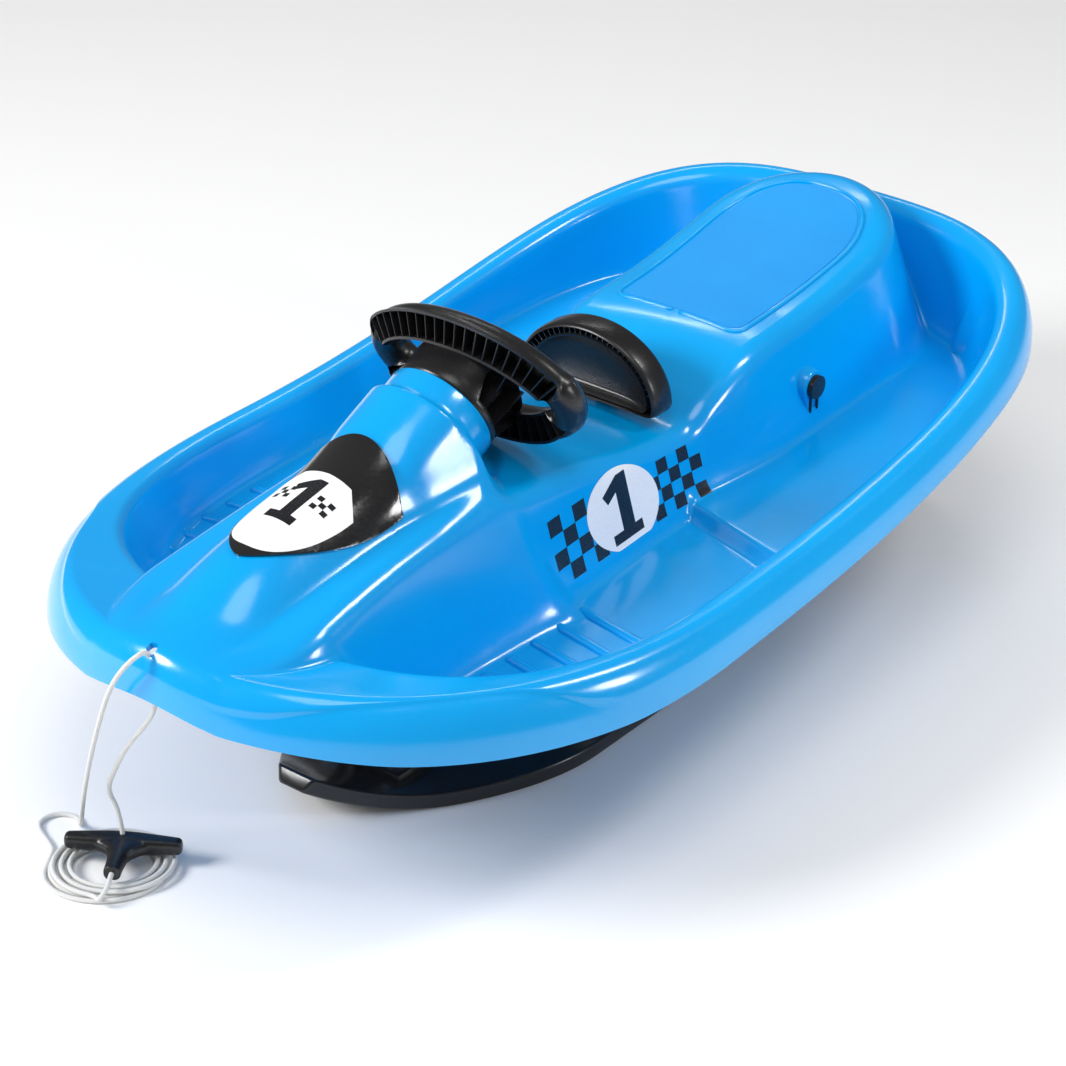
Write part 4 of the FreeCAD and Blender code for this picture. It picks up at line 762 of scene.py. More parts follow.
def tubeAlong(name, points, radius, finish, sides=10):
    ahead = np.roll(points, -1, axis=0) - np.roll(points, 1, axis=0)
    ahead[0], ahead[-1] = points[1] - points[0], points[-1] - points[-2]
    ahead /= np.linalg.norm(ahead, axis=1, keepdims=True)
    rings = []
    for p, way in zip(points, ahead):
        side = np.cross(way, (0, 0, 1.0))
        side /= np.linalg.norm(side)
        up = np.cross(side, way)
        rings.append([tuple(p + radius * (math.cos(a) * side + math.sin(a) * up)) for a in fullTurn(sides)])
    return loft(name, rings, finish)


sheet = {"step": 5.0, "cutGap": 1e-5, "corner": 40}


def appliedSheet(name, outlines, spotOf, finish, lift, thick, step=sheet["step"]):
    bm = bmesh.new()
    layer = bm.verts.layers.float_vector.new("outward")
    for outline in outlines:
        bm.faces.new([bm.verts.new((u, v, 0)) for u, v in outline]).normal_update()
    bmesh.ops.triangulate(bm, faces=bm.faces[:])
    for axis, way in enumerate((Vector((1, 0, 0)), Vector((0, 1, 0)))):
        values = [v.co[axis] for v in bm.verts]
        for cut in np.arange(min(values) + step / 2, max(values), step):
            bmesh.ops.bisect_plane(bm, geom=bm.verts[:] + bm.edges[:] + bm.faces[:], plane_co=way * cut,
                                   plane_no=way, dist=sheet["cutGap"])
    bm.verts.ensure_lookup_table()
    flat = np.array([v.co[:2] for v in bm.verts])
    spots, normals = spotOf(flat[:, 0], flat[:, 1])
    for v, p, n in zip(bm.verts, spots, normals):
        v.co = Vector(p + n * lift) * metre
        v[layer] = Vector(n)
    grown = bmesh.ops.extrude_face_region(bm, geom=bm.faces[:], use_keep_orig=True)
    for item in grown["geom"]:
        if isinstance(item, bmesh.types.BMVert):
            item.co += item[layer] * (thick * metre)
    bmesh.ops.recalc_face_normals(bm, faces=bm.faces[:])
    mesh = bpy.data.meshes.new(name)
    bm.to_mesh(mesh)
    bm.free()
    return softEdges(newObject(name, mesh, finish), sheet["corner"])


def buildSeat():
    bead = tubeAlong("seatBead", skinLift(seatLine(), trim["beadLift"]), trim["beadRadius"], "bluePlastic")
    place(bead, "sled", "shell")
    panel = appliedSheet("seatPanel", [seatOutline(trim["panelInset"])], skinSpot, "seatPlastic", 0.0,
                         trim["panelLift"])
    place(panel, "sled", "shell")


def buildAxleBosses():
    radius, end = trim["bossDia"] / 2, trim["bossEnd"]
    gusset = trim["axleZ"] - radius - trim["gussetLow"]
    for word, side in bothSides:
        rings = []
        for depth, grow in bossProfile:
            ring = []
            for a in fullTurn(trim["bossSides"]):
                across, up = (radius + grow) * math.cos(a), (radius + grow) * math.sin(a)
                down = max(-math.sin(a), 0) ** 3  # the boss runs out in a gusset below
                ring.append((trim["axleX"] + across * (1 - trim["gussetNarrow"] * down), side * (end - depth),
                             trim["axleZ"] + up - down * gusset))
            rings.append(ring)
        place(softEdges(loft("axleBoss" + word, rings, "bluePlastic"), degrees=50), "sled", "shell")
        for x in (trim["axleX"] - trim["legHalf"], trim["axleX"] + trim["legHalf"]):
            rows = []
            for z, share in ((trim["legLow"], trim["legTipShare"]), (trim["legLow"] + trim["legTipHigh"], 1),
                             (trim["legTop"], 1)):
                half = trim["legWide"] / 2 * share
                inner = side * (end - trim["legSunk"])
                outer = side * (end - trim["legLift"] + trim["legDeep"] * share)
                rows.append([(x - half, inner, z), (x + half, inner, z),
                             (x + half, outer, z), (x - half, outer, z)])
            place(softEdges(loft("axleLeg" + word, rows, "blackPlastic"), degrees=30), "sled", "black")


screwBoss = {"radius": 9, "edge": 0.8, "flare": 1.6, "flareHigh": 5, "sunk": 2.6, "sides": 32, "gap": 0.1}
bossSeats = {  # the bosses that the steering frame and the keel are screwed to
    "frame": {"x": (258, 192), "y": 152, "seat": 118}, "keel": {"x": (-196, -404), "y": 146, "seat": 142},
}


def screwBossRing(middleX, middleY, radius, heightOf):
    ring = []
    for a in fullTurn(screwBoss["sides"]):
        x, y = middleX + radius * math.cos(a), middleY + radius * math.sin(a)
        ring.append((x, y, heightOf(x, y)))
    return ring


def buildScrewBosses():
    radius, edge = screwBoss["radius"], screwBoss["edge"]
    for word, row in bossSeats.items():
        low = row["seat"] + screwBoss["gap"]
        steps = [(radius - edge, lambda x, y: low), (radius, lambda x, y: low + edge),
                 (radius, lambda x, y: skinHeight(x, y) - screwBoss["sunk"] - screwBoss["flareHigh"]),
                 (radius + screwBoss["flare"], lambda x, y: skinHeight(x, y) - screwBoss["sunk"])]
        for end, x in zip(("Front", "Rear"), row["x"]):
            for sideWord, side in bothSides:
                rings = [screwBossRing(x, side * row["y"], size, heightOf) for size, heightOf in steps]
                boss = loft(word + "Boss" + end + sideWord, rings, "bluePlastic")
                place(softEdges(boss, degrees=40), "sled", "shell")


buildFootRibs()
buildCollar()
buildSeat()
buildAxleBosses()
buildScrewBosses()
print("shell trim done")


# steering wheel: drawn about its centre, Z to the rider, X up, Y left

wheel = {
    "halfWidth": 104, "halfHeight": 64, "radial": 13, "axial": 14.5, "shift": 4, "back": 7, "steps": 240,
    "sectionFrom": -68, "sectionTo": 248, "sectionSteps": 33, "seams": (28, 58), "seam": 0.5, "seamHalf": 2.5,
    "squareFrom": -8, "squareInset": 0.6, "channelHalf": 10.2, "channelSteps": 13, "channelDeep": 6,
    "channelRise": 9, "lipHalf": 10, "lipInset": 0.8, "channelFrom": 18, "channelTo": 162, "fade": 8,
    "topTurn": 30, "topInset": 2.2, "lowTurn": -26, "lowInset": 1.0,
    "topRibs": 20, "lowRibs": 15, "ribSize": (1.1, 21.5, 21.4), "ribSink": 3.4, "ribEdge": 0.3,
    "ribMargin": 6,
}
wheelHalfY, wheelHalfX = wheel["halfWidth"] - wheel["radial"], wheel["halfHeight"] - wheel["radial"]


def rimSection(opened, turned):
    radial, axial, edge = wheel["radial"], wheel["axial"], wheel["channelHalf"]
    section = []
    angles = list(np.linspace(wheel["sectionFrom"], wheel["sectionTo"], wheel["sectionSteps"]))
    angles += [seam + k * wheel["seamHalf"] for seam in wheel["seams"] for k in (-1, 0, 1)]
    for t in sorted(angles):  # round the outer side, over the rider's side, down the inner side
        a = math.radians(t)
        sink = wheel["seam"] if t in wheel["seams"] else 0
        r, z = (radial - sink) * math.cos(a), (axial - sink) * math.sin(a)
        if z < wheel["squareFrom"]:
            r += opened * (math.copysign(radial - wheel["squareInset"], r) - r)
            z += opened * (-axial + wheel["squareInset"] - z)
        section.append((r, z))
    for r in np.linspace(-edge, edge, wheel["channelSteps"]):  # the channel that faces the front
        solid = -axial * math.sqrt(1 - (r / radial) ** 2)
        deep = wheel["channelDeep"] - wheel["channelRise"] * (abs(r) / edge) ** 4
        if abs(r) > wheel["lipHalf"]:
            deep = -axial + wheel["lipInset"]
        section.append((r, solid + opened * (deep - solid)))
    c, s = math.cos(turned), math.sin(turned)
    return [(r * c - z * s, r * s + z * c) for r, z in section]


def channelOpen(degrees):
    spot = degrees % 180
    rise = (spot - wheel["channelFrom"]) / wheel["fade"]
    fall = (wheel["channelTo"] - spot) / wheel["fade"]
    return float(smoothStep(min(rise, fall)))


def buildRim():
    rings = []
    for turn in fullTurn(wheel["steps"]):
        y, x = wheelHalfY * math.cos(turn), wheelHalfX * math.sin(turn)
        out = np.array([math.sin(turn) * wheelHalfY, math.cos(turn) * wheelHalfX])
        out /= np.linalg.norm(out)
        opened = channelOpen(math.degrees(turn))
        part = "top" if turn < math.pi else "low"
        ring = []
        for r, z in rimSection(opened, math.radians(wheel[part + "Turn"]) * opened):
            r -= wheel[part + "Inset"] * opened
            ring.append((x - wheel["shift"] + out[0] * r, y + out[1] * r, z - wheel["back"]))
        rings.append(ring)
    rim = moveTo(loft("wheelRim", rings, "blackPlastic", endless=True), steeringPlace())
    place(softEdges(rim, degrees=45), "steering", "black", "steering_wheel")


hub = {
    "sides": 96, "power": 2.0, "powerMore": 0.9, "squareTo": 40, "squareRun": 25,
    "sizes": [(0.0, 34, 36, 33), (1.5, 35, 38, 35), (9, 36, 50, 42), (15, 37, 51, 43.5), (24, 40.5, 50, 44),
              (34, 42.5, 48, 44.5), (44, 45, 46.5, 45.5), (51.5, 46, 46, 46), (53.4, 45, 45, 45)],
    "pocketInner": 25, "pocketOuter": 70, "pockets": [(7, 27, -40), (28, 29, -36), (47, 22, -26)],
    "webThick": 1.8, "webSunk": 1, "webOuter": 43, "webInset": 6, "webNear": 6, "webFar": 48,
    "webs": [(20, 4), (-12, -16)], "edge": 0.8,
}


def bulge(value, power):
    return math.copysign(abs(value) ** (2 / power), value)


def buildHub():
    rings = []
    for depth, up, down, halfAcross in hub["sizes"]:
        power = hub["power"] + hub["powerMore"] * min(max((hub["squareTo"] - depth) / hub["squareRun"], 0), 1)
        rings.append([(bulge(math.cos(a), power) * (up if math.cos(a) > 0 else down),
                       bulge(math.sin(a), power) * halfAcross, -depth) for a in fullTurn(hub["sides"])])
    body = loft("wheelHub", rings, "blackPlastic")
    half, near, far = hub["webThick"] / 2, -hub["webNear"], -hub["webFar"]
    for side in (1, -1):  # pockets beside the core, open to the sides, with webs across
        inner, outer = side * hub["pocketInner"], side * hub["pocketOuter"]
        rows = [[(low, inner, -depth), (top, inner, -depth), (top, outer, -depth), (low, outer, -depth)]
                for depth, top, low in hub["pockets"]]
        combine(body, loft("hubPocket", rows, None), "DIFFERENCE")
        inner, outer = side * (hub["pocketInner"] - hub["webSunk"]), side * hub["webOuter"]
        for top, low in hub["webs"]:
            rows = [[(top - half, y, near), (top + half, y, near),
                     (low + half, farY, far), (low - half, farY, far)]
                    for y, farY in ((inner, inner), (outer, outer - side * hub["webInset"]))]
            combine(body, loft("hubWeb", rows, None), "UNION")
    soften(body, hub["edge"], segments=2, degrees=50, finish="blackPlastic")
    place(softEdges(moveTo(body, steeringPlace()), degrees=40), "steering", "black")


def buildRimWebs():  # thin webs across the front channel
    web = boxBlank("wheelWebBlank", wheel["ribSize"], (0, 0, -wheel["ribSink"]), wheel["ribEdge"])
    sweep = wheel["channelTo"] - wheel["channelFrom"] - 2 * wheel["ribMargin"]
    swap = Matrix(((0, 1, 0, -wheel["shift"] * metre), (1, 0, 0, 0), (0, 0, 1, -wheel["back"] * metre),
                   (0, 0, 0, 1)))
    for part, first in (("low", 180), ("top", 0)):
        inset, lean = wheel[part + "Inset"], Matrix.Rotation(-math.radians(wheel[part + "Turn"]), 4, "X")
        moveTo(web, lean)
        start = first + wheel["channelFrom"] + wheel["ribMargin"]
        webs = runTree("wheelWebs" + part.title(), ribArc, {
            "Rib": web, "Count": wheel[part + "Ribs"], "Start": math.radians(start),
            "Sweep": math.radians(sweep),
            "Half Sizes": Vector((wheelHalfY - inset, wheelHalfX - inset, 1 / metre)) * metre},
            "blackPlastic")
        moveTo(webs, steeringPlace() @ swap)
        webs.data.flip_normals()
        place(webs, "steering", "black")
        moveTo(web, lean.inverted())
    bpy.data.objects.remove(web)


buildRim()
buildHub()
buildRimWebs()
print("steering wheel done")


# brake handle: a half moon across the sled, hollow to the front

handle = {
    "rearX": -68, "frontX": -40, "midZ": 228, "halfWidth": 72, "halfHeight": 58, "lowZ": 222, "band": 13,
    "steps": 160, "corner": 16, "lowShare": 0.14, "middleShare": 0.6,
    "ribs": 28, "ribSize": (1.0, 7, 13), "ribBack": 11.5, "ribFrom": 14, "ribSweep": 152, "ribInset": 7.5,
}


def handleRing(inset, x):
    low = handle["lowZ"] + inset * handle["lowShare"]
    ring = []
    for t in fullTurn(handle["steps"]):
        z = handle["midZ"] + (handle["halfHeight"] - inset) * math.sin(t)
        ring.append((x, (handle["halfWidth"] - inset) * math.cos(t),
                     float(smoothMax(z, low, handle["corner"]))))
    return ring


def buildHandle():
    rear, front, band = handle["rearX"], handle["frontX"], handle["band"]
    middle = rear + (front - rear) * handle["middleShare"]
    profile = [  # inset from the outline, then X: the back, the rim, the channel, the dished front
        (60, rear), (30, rear), (6, rear), (2.4, rear + 0.8), (0.8, rear + 2.6), (0, rear + 6), (0, middle),
        (0.3, front - 5), (1.2, front - 1.8), (2.4, front - 0.3), (3.4, front), (4.0, front - 0.6),
        (4.4, rear + 13), (5.2, rear + 12), (band - 3.4, rear + 12), (band - 2.6, rear + 13),
        (band - 2.3, front - 4.4), (band - 1.7, front - 3.6), (band - 0.8, front - 3.8),
        (band + 0.6, front - 5.2), (band + 4, front - 8), (band + 12, front - 11.5),
        (band + 24, front - 13.5), (band + 36, front - 14), (57, front - 14)]
    body = loft("brakeGrip", [handleRing(inset, x) for inset, x in profile], "blackPlastic")
    place(softEdges(body, degrees=50), "brake", "black", "brake_handle")
    web = boxBlank("brakeWebBlank", handle["ribSize"])  # fine webs in the channel round its top
    inset = handle["ribInset"]
    webs = runTree("brakeWebs", ribArc, {
        "Rib": web, "Count": handle["ribs"], "Start": math.radians(handle["ribFrom"]),
        "Sweep": math.radians(handle["ribSweep"]),
        "Half Sizes": Vector((handle["halfWidth"] - inset, handle["halfHeight"] - inset, 1 / metre)) * metre},
        "blackPlastic")
    moveTo(webs, Matrix(((0, 0, 1, (front - handle["ribBack"]) * metre), (1, 0, 0, 0),
                         (0, 1, 0, handle["midZ"] * metre), (0, 0, 0, 1))))
    place(webs, "brake", "black")
    bpy.data.objects.remove(web)


buildHandle()
print("brake handle done")


# badge and stickers

badge = {
    "tipX": 379, "cornerX": 252, "topX": 234, "halfWidth": 50, "lift": 0.3, "thick": 2.0, "edge": 0.7,
    "step": 2.5, "power": 0.62, "bunch": 1.4, "sideSteps": 40, "topSteps": 21,
}
sticker = {
    "topX": 276, "topHalf": 22, "cornerX": 294, "cornerHalf": 37, "tipX": 369, "thick": 0.25, "ink": 0.1,
    "bow": 1, "power": 0.75, "steps": 20,
    "digitX": 336, "digitHeight": 52, "digitWide": 46, "check": 4.8, "checkHalfShare": 0.49, "checkX": 305,
    "checkY": 17.5, "checks": ((-1, -1), (-1, 1), (0, 0), (1, -1), (1, 1)),
}
roundel = {
    "x": 30, "baseZ": 160, "halfLong": 47, "halfTall": 35, "mid": 20, "lean": 0.1, "flat": -11, "sides": 96,
    "digitHeight": 55, "digitWide": 74, "digitLow": -6, "lift": 0.12, "thick": 0.2, "acrossFrom": 150,
    "acrossTo": 25, "samples": 400, "checkRows": 4, "checkLift": 0.06,
    "front": {"from": -94, "wide": 16.4, "columns": 4, "first": 0, "top": 48, "tall": 14},
    "rear": {"from": 38, "wide": 13.4, "columns": 5, "first": 1, "top": 39, "tall": 12},
}
digitOne = [(-0.26, 0.0), (0.28, 0.0), (0.28, 0.16), (0.15, 0.16), (0.15, 1.0), (-0.02, 1.0), (-0.31, 0.8),
            (-0.24, 0.65), (-0.07, 0.76), (-0.07, 0.16), (-0.26, 0.16)]


def badgeOutline():
    half, tip = badge["halfWidth"], badge["tipX"]
    left = [(tip + (badge["cornerX"] - tip) * q, half * math.sin(math.pi / 2 * q ** badge["power"]))
            for q in np.linspace(0, 1, badge["sideSteps"]) ** badge["bunch"]]
    top = [(badge["topX"] + (badge["cornerX"] - badge["topX"]) * cross ** 2, half * cross)
           for cross in np.linspace(1, -1, badge["topSteps"])[1:-1]]
    return left[1:] + top + [(x, -y) for x, y in reversed(left[1:])] + [left[0]]


def stickerOutline():
    corner, half, tip = sticker["cornerX"], sticker["cornerHalf"], sticker["tipX"]
    left = [(sticker["topX"], 0.0), (sticker["topX"] + sticker["bow"], sticker["topHalf"]), (corner, half)]
    for t in np.linspace(0, math.pi / 2, sticker["steps"])[1:]:
        left.append((corner + (tip - corner) * math.sin(t), half * math.cos(t) ** sticker["power"]))
    left[-1] = (tip, 0.0)
    return left + [(x, -y) for x, y in reversed(left[1:-1])]


def square(x, y, half):
    return [(x - half, y - half), (x + half, y - half), (x + half, y + half), (x - half, y + half)]


def buildBadge():
    panel = appliedSheet("badgePanel", [badgeOutline()], skinSpot, "badgePlastic", badge["lift"],
                         badge["thick"], step=badge["step"])
    soften(panel, badge["edge"], segments=3, degrees=60)
    place(softEdges(panel, degrees=50), "sled", "badge", "badge_panel")
    top = badge["lift"] + badge["thick"]
    shield = appliedSheet("badgeSticker", [stickerOutline()], skinSpot, "stickerWhite", top, sticker["thick"],
                          step=badge["step"])
    place(shield, "sled", "badge")
    ink = [[(sticker["digitX"] - v * sticker["digitHeight"], u * sticker["digitWide"]) for u, v in digitOne]]
    wide = sticker["check"]
    for y in (-sticker["checkY"], sticker["checkY"]):
        ink += [square(sticker["checkX"] + i * wide, y + k * wide, wide * sticker["checkHalfShare"])
                for i, k in sticker["checks"]]
    marks = appliedSheet("badgeMarks", ink, skinSpot, "stickerBlack", top + sticker["thick"], sticker["ink"])
    place(marks, "sled", "badge")


def sideMap(side):
    across = np.linspace(roundel["acrossFrom"], roundel["acrossTo"], roundel["samples"])

    def spotOf(u, v):
        places = []
        for x, rise in zip(roundel["x"] - np.asarray(u, float), np.asarray(v, float)):
            heights = skinHeight(np.full_like(across, x), across)
            lengths = np.concatenate([[0], np.cumsum(np.hypot(np.diff(across), np.diff(heights)))])
            start = np.interp(roundel["baseZ"], np.maximum.accumulate(heights), lengths)
            places.append((x, np.interp(start + rise, lengths, across)))
        places = np.array(places)
        spots, normals = skinSpot(places[:, 0], places[:, 1])
        flip = np.array([1, side, 1])
        return spots * flip, normals * flip
    return spotOf


def checkRows(row):
    squares = []
    for c in range(row["columns"]):
        for r in range(roundel["checkRows"]):
            if (r + c + row["first"]) % 2 == 0:
                u0, v1 = row["from"] + c * row["wide"], row["top"] - r * row["tall"]
                u1, v0 = u0 + row["wide"], v1 - row["tall"]
                squares.append([(u0, v0), (u1, v0), (u1, v1), (u0, v1)])
    return squares


def buildRoundels():
    disc = []
    for a in fullTurn(roundel["sides"]):
        u = roundel["halfLong"] * math.cos(a)
        disc.append((u, max(roundel["mid"] + roundel["halfTall"] * math.sin(a) - roundel["lean"] * u,
                            roundel["flat"])))
    for word, side in bothSides:
        digit = [(side * u * roundel["digitWide"], roundel["digitLow"] + v * roundel["digitHeight"])
                 for u, v in digitOne]  # it reads from its own side
        squares = checkRows(roundel["front"]) + checkRows(roundel["rear"])
        lift, thick, ink = roundel["lift"], roundel["thick"], sticker["ink"]
        for name, outlines, finish, low, high in (
                ("roundel", [disc], "stickerWhite", lift, thick),
                ("roundelDigit", [digit], "stickerBlack", lift + thick, ink),
                ("checks", squares, "stickerBlack", roundel["checkLift"], ink)):
            place(appliedSheet(name + word, outlines, sideMap(side), finish, low, high), "sled", "badge")


buildBadge()
buildRoundels()
print("badge and stickers done")


# tow rope and grip

rope = {
    "dia": 4, "plait": 0.07, "strands": 3, "twist": 0.9, "step": 1.0, "sides": 12, "resolution": 12,
    "pile": (470, -68), "outer": 47, "inner": 30, "floor": 2.2, "rise": 4.6, "startTurn": 300,
    "climbFrom": 1380, "climbTo": 1560, "endTurn": 2545, "perTurn": 16,
    "oval": 0.07, "ovalTurn": 128, "slip": (-5.5, 4.5),
    "over": [(470, 0, 200), (470, 0, 228), (493, 0, 228), (499, -16, 203), (490.3, -42.3, 152.8),
             (478.5, -68.5, 102.6), (463.8, -94.8, 52.4), (446, -121, 2.2), (435.2, -134, 2.2),
             (444, -152.6, 2.2), (464.6, -153.4, 2.2), (477.9, -117.7, 2.2), (486, -113, 2.2)],
    "tail": [(510, -36, 9), (500, -36.5, 15), (491.1, -41.7, 17.8), (487.7, -43.8, 17.8)],
    "under": [(470, 0, 200), (470, 0, 180), (470, -8, 162), (471, -33.3, 130), (466, -54, 98),
              (458, -74, 66), (453.8, -67, 48), (453.8, -65, 26.3)],
}
grip = {
    "start": (487.7, -43.8, 17.8), "heading": 212, "stem": 40, "length": 92,
    "barPower": 2.8, "stemPower": 2.6,
    "barHalf": [(0, 8.5, 8.5), (0.25, 8.2, 8.3), (0.6, 7, 7.4), (0.94, 5.8, 6.4), (0.985, 4.6, 5),
                (1, 2.5, 2.5)],
    "stemRows": [(0, 6.6, 6.4), (0.25, 6.8, 6.6), (0.5, 7.8, 6.8), (0.64, 11, 7.2), (0.76, 17, 7.4),
                 (0.88, 26, 7.0), (1.0, 34, 6)],
    "voxel": 0.7, "ease": 0.5, "easeSteps": 10, "sides": 32,
}


def pilePoints():
    points = []
    total = rope["endTurn"] - rope["startTurn"]
    count = round(total / 360 * rope["perTurn"])
    shrink = (1 + math.cos(math.pi / rope["perTurn"])) / 2  # the spline runs a little inside its points
    for turn in rope["startTurn"] + np.arange(1, count + 1) * total / count:
        if turn < rope["climbFrom"]:
            q = (turn - rope["startTurn"]) / (rope["climbFrom"] - rope["startTurn"])
            radius, z = rope["outer"] + (rope["inner"] - rope["outer"]) * q, rope["floor"]
        elif turn < rope["climbTo"]:
            q = (turn - rope["climbFrom"]) / (rope["climbTo"] - rope["climbFrom"])
            radius, z = rope["inner"], rope["floor"] + rope["rise"] * float(smoothStep(q))
        else:
            q = (turn - rope["climbTo"]) / (rope["endTurn"] - rope["climbTo"])
            radius, z = rope["inner"] + (rope["outer"] - rope["inner"]) * q, rope["floor"] + rope["rise"]
        angle = math.radians(turn)
        radius *= (1 + rope["oval"] * math.cos(2 * angle - 2 * math.radians(rope["ovalTurn"]))) / shrink
        slip = (z - rope["floor"]) / rope["rise"]  # the upper turns have slid to one side
        points.append((rope["pile"][0] + rope["slip"][0] * slip + radius * math.cos(angle),
                       rope["pile"][1] + rope["slip"][1] * slip + radius * math.sin(angle), z))
    return points


def splinePath(name, points):
    curve = bpy.data.curves.new(name, "CURVE")
    curve.dimensions = "3D"
    curve.resolution_u = rope["resolution"]
    spline = curve.splines.new("NURBS")
    spline.points.add(len(points) - 1)
    for control, p in zip(spline.points, points):
        control.co = (*(Vector(p) * metre), 1)
    spline.order_u = 3
    spline.use_endpoint_u = True
    holder = bpy.data.objects.new(name, curve)
    scene.collection.objects.link(holder)
    graph = bpy.context.evaluated_depsgraph_get()
    graph.update()
    mesh = bpy.data.meshes.new_from_object(holder.evaluated_get(graph))
    path = np.array([v.co[:] for v in mesh.vertices]) / metre
    bpy.data.objects.remove(holder)
    bpy.data.meshes.remove(mesh)
    lengths = runLengths(path)
    goals = np.linspace(0, lengths[-1], round(lengths[-1] / rope["step"]) + 1)
    return np.stack([np.interp(goals, lengths, path[:, k]) for k in range(3)], axis=-1), lengths[-1]


def cordTube(name, path):
    sides = rope["sides"]
    ahead = np.gradient(path, axis=0)
    ahead /= np.linalg.norm(ahead, axis=1, keepdims=True)
    side = np.cross(ahead[0], (0.0, 1.0, 0.0))  # both strands leave the hole upright
    rings = []
    for i, (p, way) in enumerate(zip(path, ahead)):
        side = side - way * np.dot(side, way)
        side /= np.linalg.norm(side)
        up = np.cross(way, side)
        ring = []
        for a in fullTurn(sides):
            turn, twist = rope["strands"] * a, rope["twist"] * i
            plait = 0.5 + 0.5 * math.cos(turn + twist) * math.cos(turn - twist)
            radius = rope["dia"] / 2 * (1 - rope["plait"] * (1 - plait))
            ring.append(p + radius * (math.cos(a) * side + math.sin(a) * up))
        rings.append(ring)
    cord = loft(name, rings, "braidedCord")
    mesh = cord.data
    uv = mesh.uv_layers.new(name="braid")
    for polygon in mesh.polygons:
        around = [v % sides for v in polygon.vertices]
        wraps = len(around) == 4 and {0, sides - 1} <= set(around)
        for loop, v, k in zip(polygon.loop_indices, polygon.vertices, around):
            k = sides if wraps and k == 0 else k
            if len(around) == 4:
                uv.data[loop].uv = (k / sides * rope["strands"], v // sides * rope["step"] / rope["dia"])
    return cord


def superRing(center, across, up, halfAcross, halfUp, power):
    return [tuple(center + across * bulge(math.cos(a), power) * halfAcross
                  + up * bulge(math.sin(a), power) * halfUp) for a in fullTurn(grip["sides"])]


def buildGrip():
    heading = math.radians(grip["heading"])
    way, up = np.array([math.cos(heading), math.sin(heading), 0]), np.array([0, 0, 1.0])
    across, start = np.cross(way, up), np.array(grip["start"])
    middle, half = start + way * grip["stem"], grip["length"] / 2
    rows = [(-t, *sizes) for t, *sizes in reversed(grip["barHalf"][1:])] + grip["barHalf"]
    bar = [superRing(middle + across * half * t, way, up, halfWay, halfUp, grip["barPower"])
           for t, halfWay, halfUp in rows]
    stem = [superRing(start + way * grip["stem"] * t, across, up, halfAcross, halfUp, grip["stemPower"])
            for t, halfAcross, halfUp in grip["stemRows"]]
    body = combine(loft("towGrip", bar, "blackPlastic"), loft("towStem", stem, None), "UNION")
    remesh = body.modifiers.new("remesh", "REMESH")
    remesh.mode, remesh.voxel_size = "VOXEL", grip["voxel"] * metre
    ease = body.modifiers.new("ease", "SMOOTH")
    ease.factor, ease.iterations = grip["ease"], grip["easeSteps"]
    bakeModifiers(body, "blackPlastic")
    body.data.shade_smooth()
    return place(body, "sled", "black", "tow_handle")


def buildRope():
    towGrip = buildGrip()
    overPath, overLength = splinePath("towRopeOverLine", rope["over"] + pilePoints() + rope["tail"])
    underPath, underLength = splinePath("towRopeUnderLine", rope["under"])
    over = place(cordTube("towRopeOver", overPath), "sled", "rope", "tow_rope_top", "tow_rope_pile")
    under = place(cordTube("towRopeUnder", underPath), "sled", "rope", "tow_rope_under")
    print(f"rope: {overLength:.0f} mm over the nose, {underLength:.0f} mm under it")


buildRope()


# the ski and the keel's ribs

bodyOf = {node: body for body, members in frame["record"]["behaviour"]["bodies"].items() for node in members}
slotOf = {piece["node"]: piece["material_slot"] for piece in frame["record"]["subparts"]}
ski = {
    "tipX": 335, "rearX": -149, "flatX": 235, "tipRise": 32, "thick": 14, "halfWidth": 138, "waist": 0.97,
    "noseRun": 240, "rearRound": 40, "edge": 2.4, "edgeSteps": 5, "step": 4,
}
skiRun = ski["tipX"] - ski["flatX"]
skiBend = (skiRun ** 2 + ski["tipRise"] ** 2) / (2 * ski["tipRise"])


def skiWidth(x):
    noseEnd = ski["tipX"] + ski["thick"] - ski["noseRun"]
    corner = ski["rearX"] + ski["rearRound"]
    waist = ski["halfWidth"] * ski["waist"]
    if x > noseEnd:
        return waist * math.sin(math.pi / 2 * (noseEnd + ski["noseRun"] - x) / ski["noseRun"])
    if x > corner:
        return waist + (ski["halfWidth"] - waist) * (noseEnd - x) / (noseEnd - corner)
    return ski["halfWidth"] - ski["rearRound"] + math.sqrt(max(ski["rearRound"] ** 2 - (corner - x) ** 2, 0))


def skiRing(s, inset):
    bend = max(s, 0) / skiBend
    x, z = ski["flatX"] + min(s, 0) + skiBend * math.sin(bend), skiBend * (1 - math.cos(bend))
    ring = []
    for corner in range(4):  # low left, low right, top right, top left
        side = 1 if corner in (0, 3) else -1
        top = corner > 1
        for q in np.linspace(0, 1, ski["edgeSteps"]):
            a = math.pi / 2 * (q if (side > 0) != top else 1 - q)
            h = inset + ski["edge"] * (1 - math.sin(a))
            if top:
                h = ski["thick"] - h
            px, pz = x - math.sin(bend) * h, z + math.cos(bend) * h
            ring.append((px, side * (skiWidth(px) - inset - ski["edge"] * (1 - math.cos(a))), pz))
    return ring


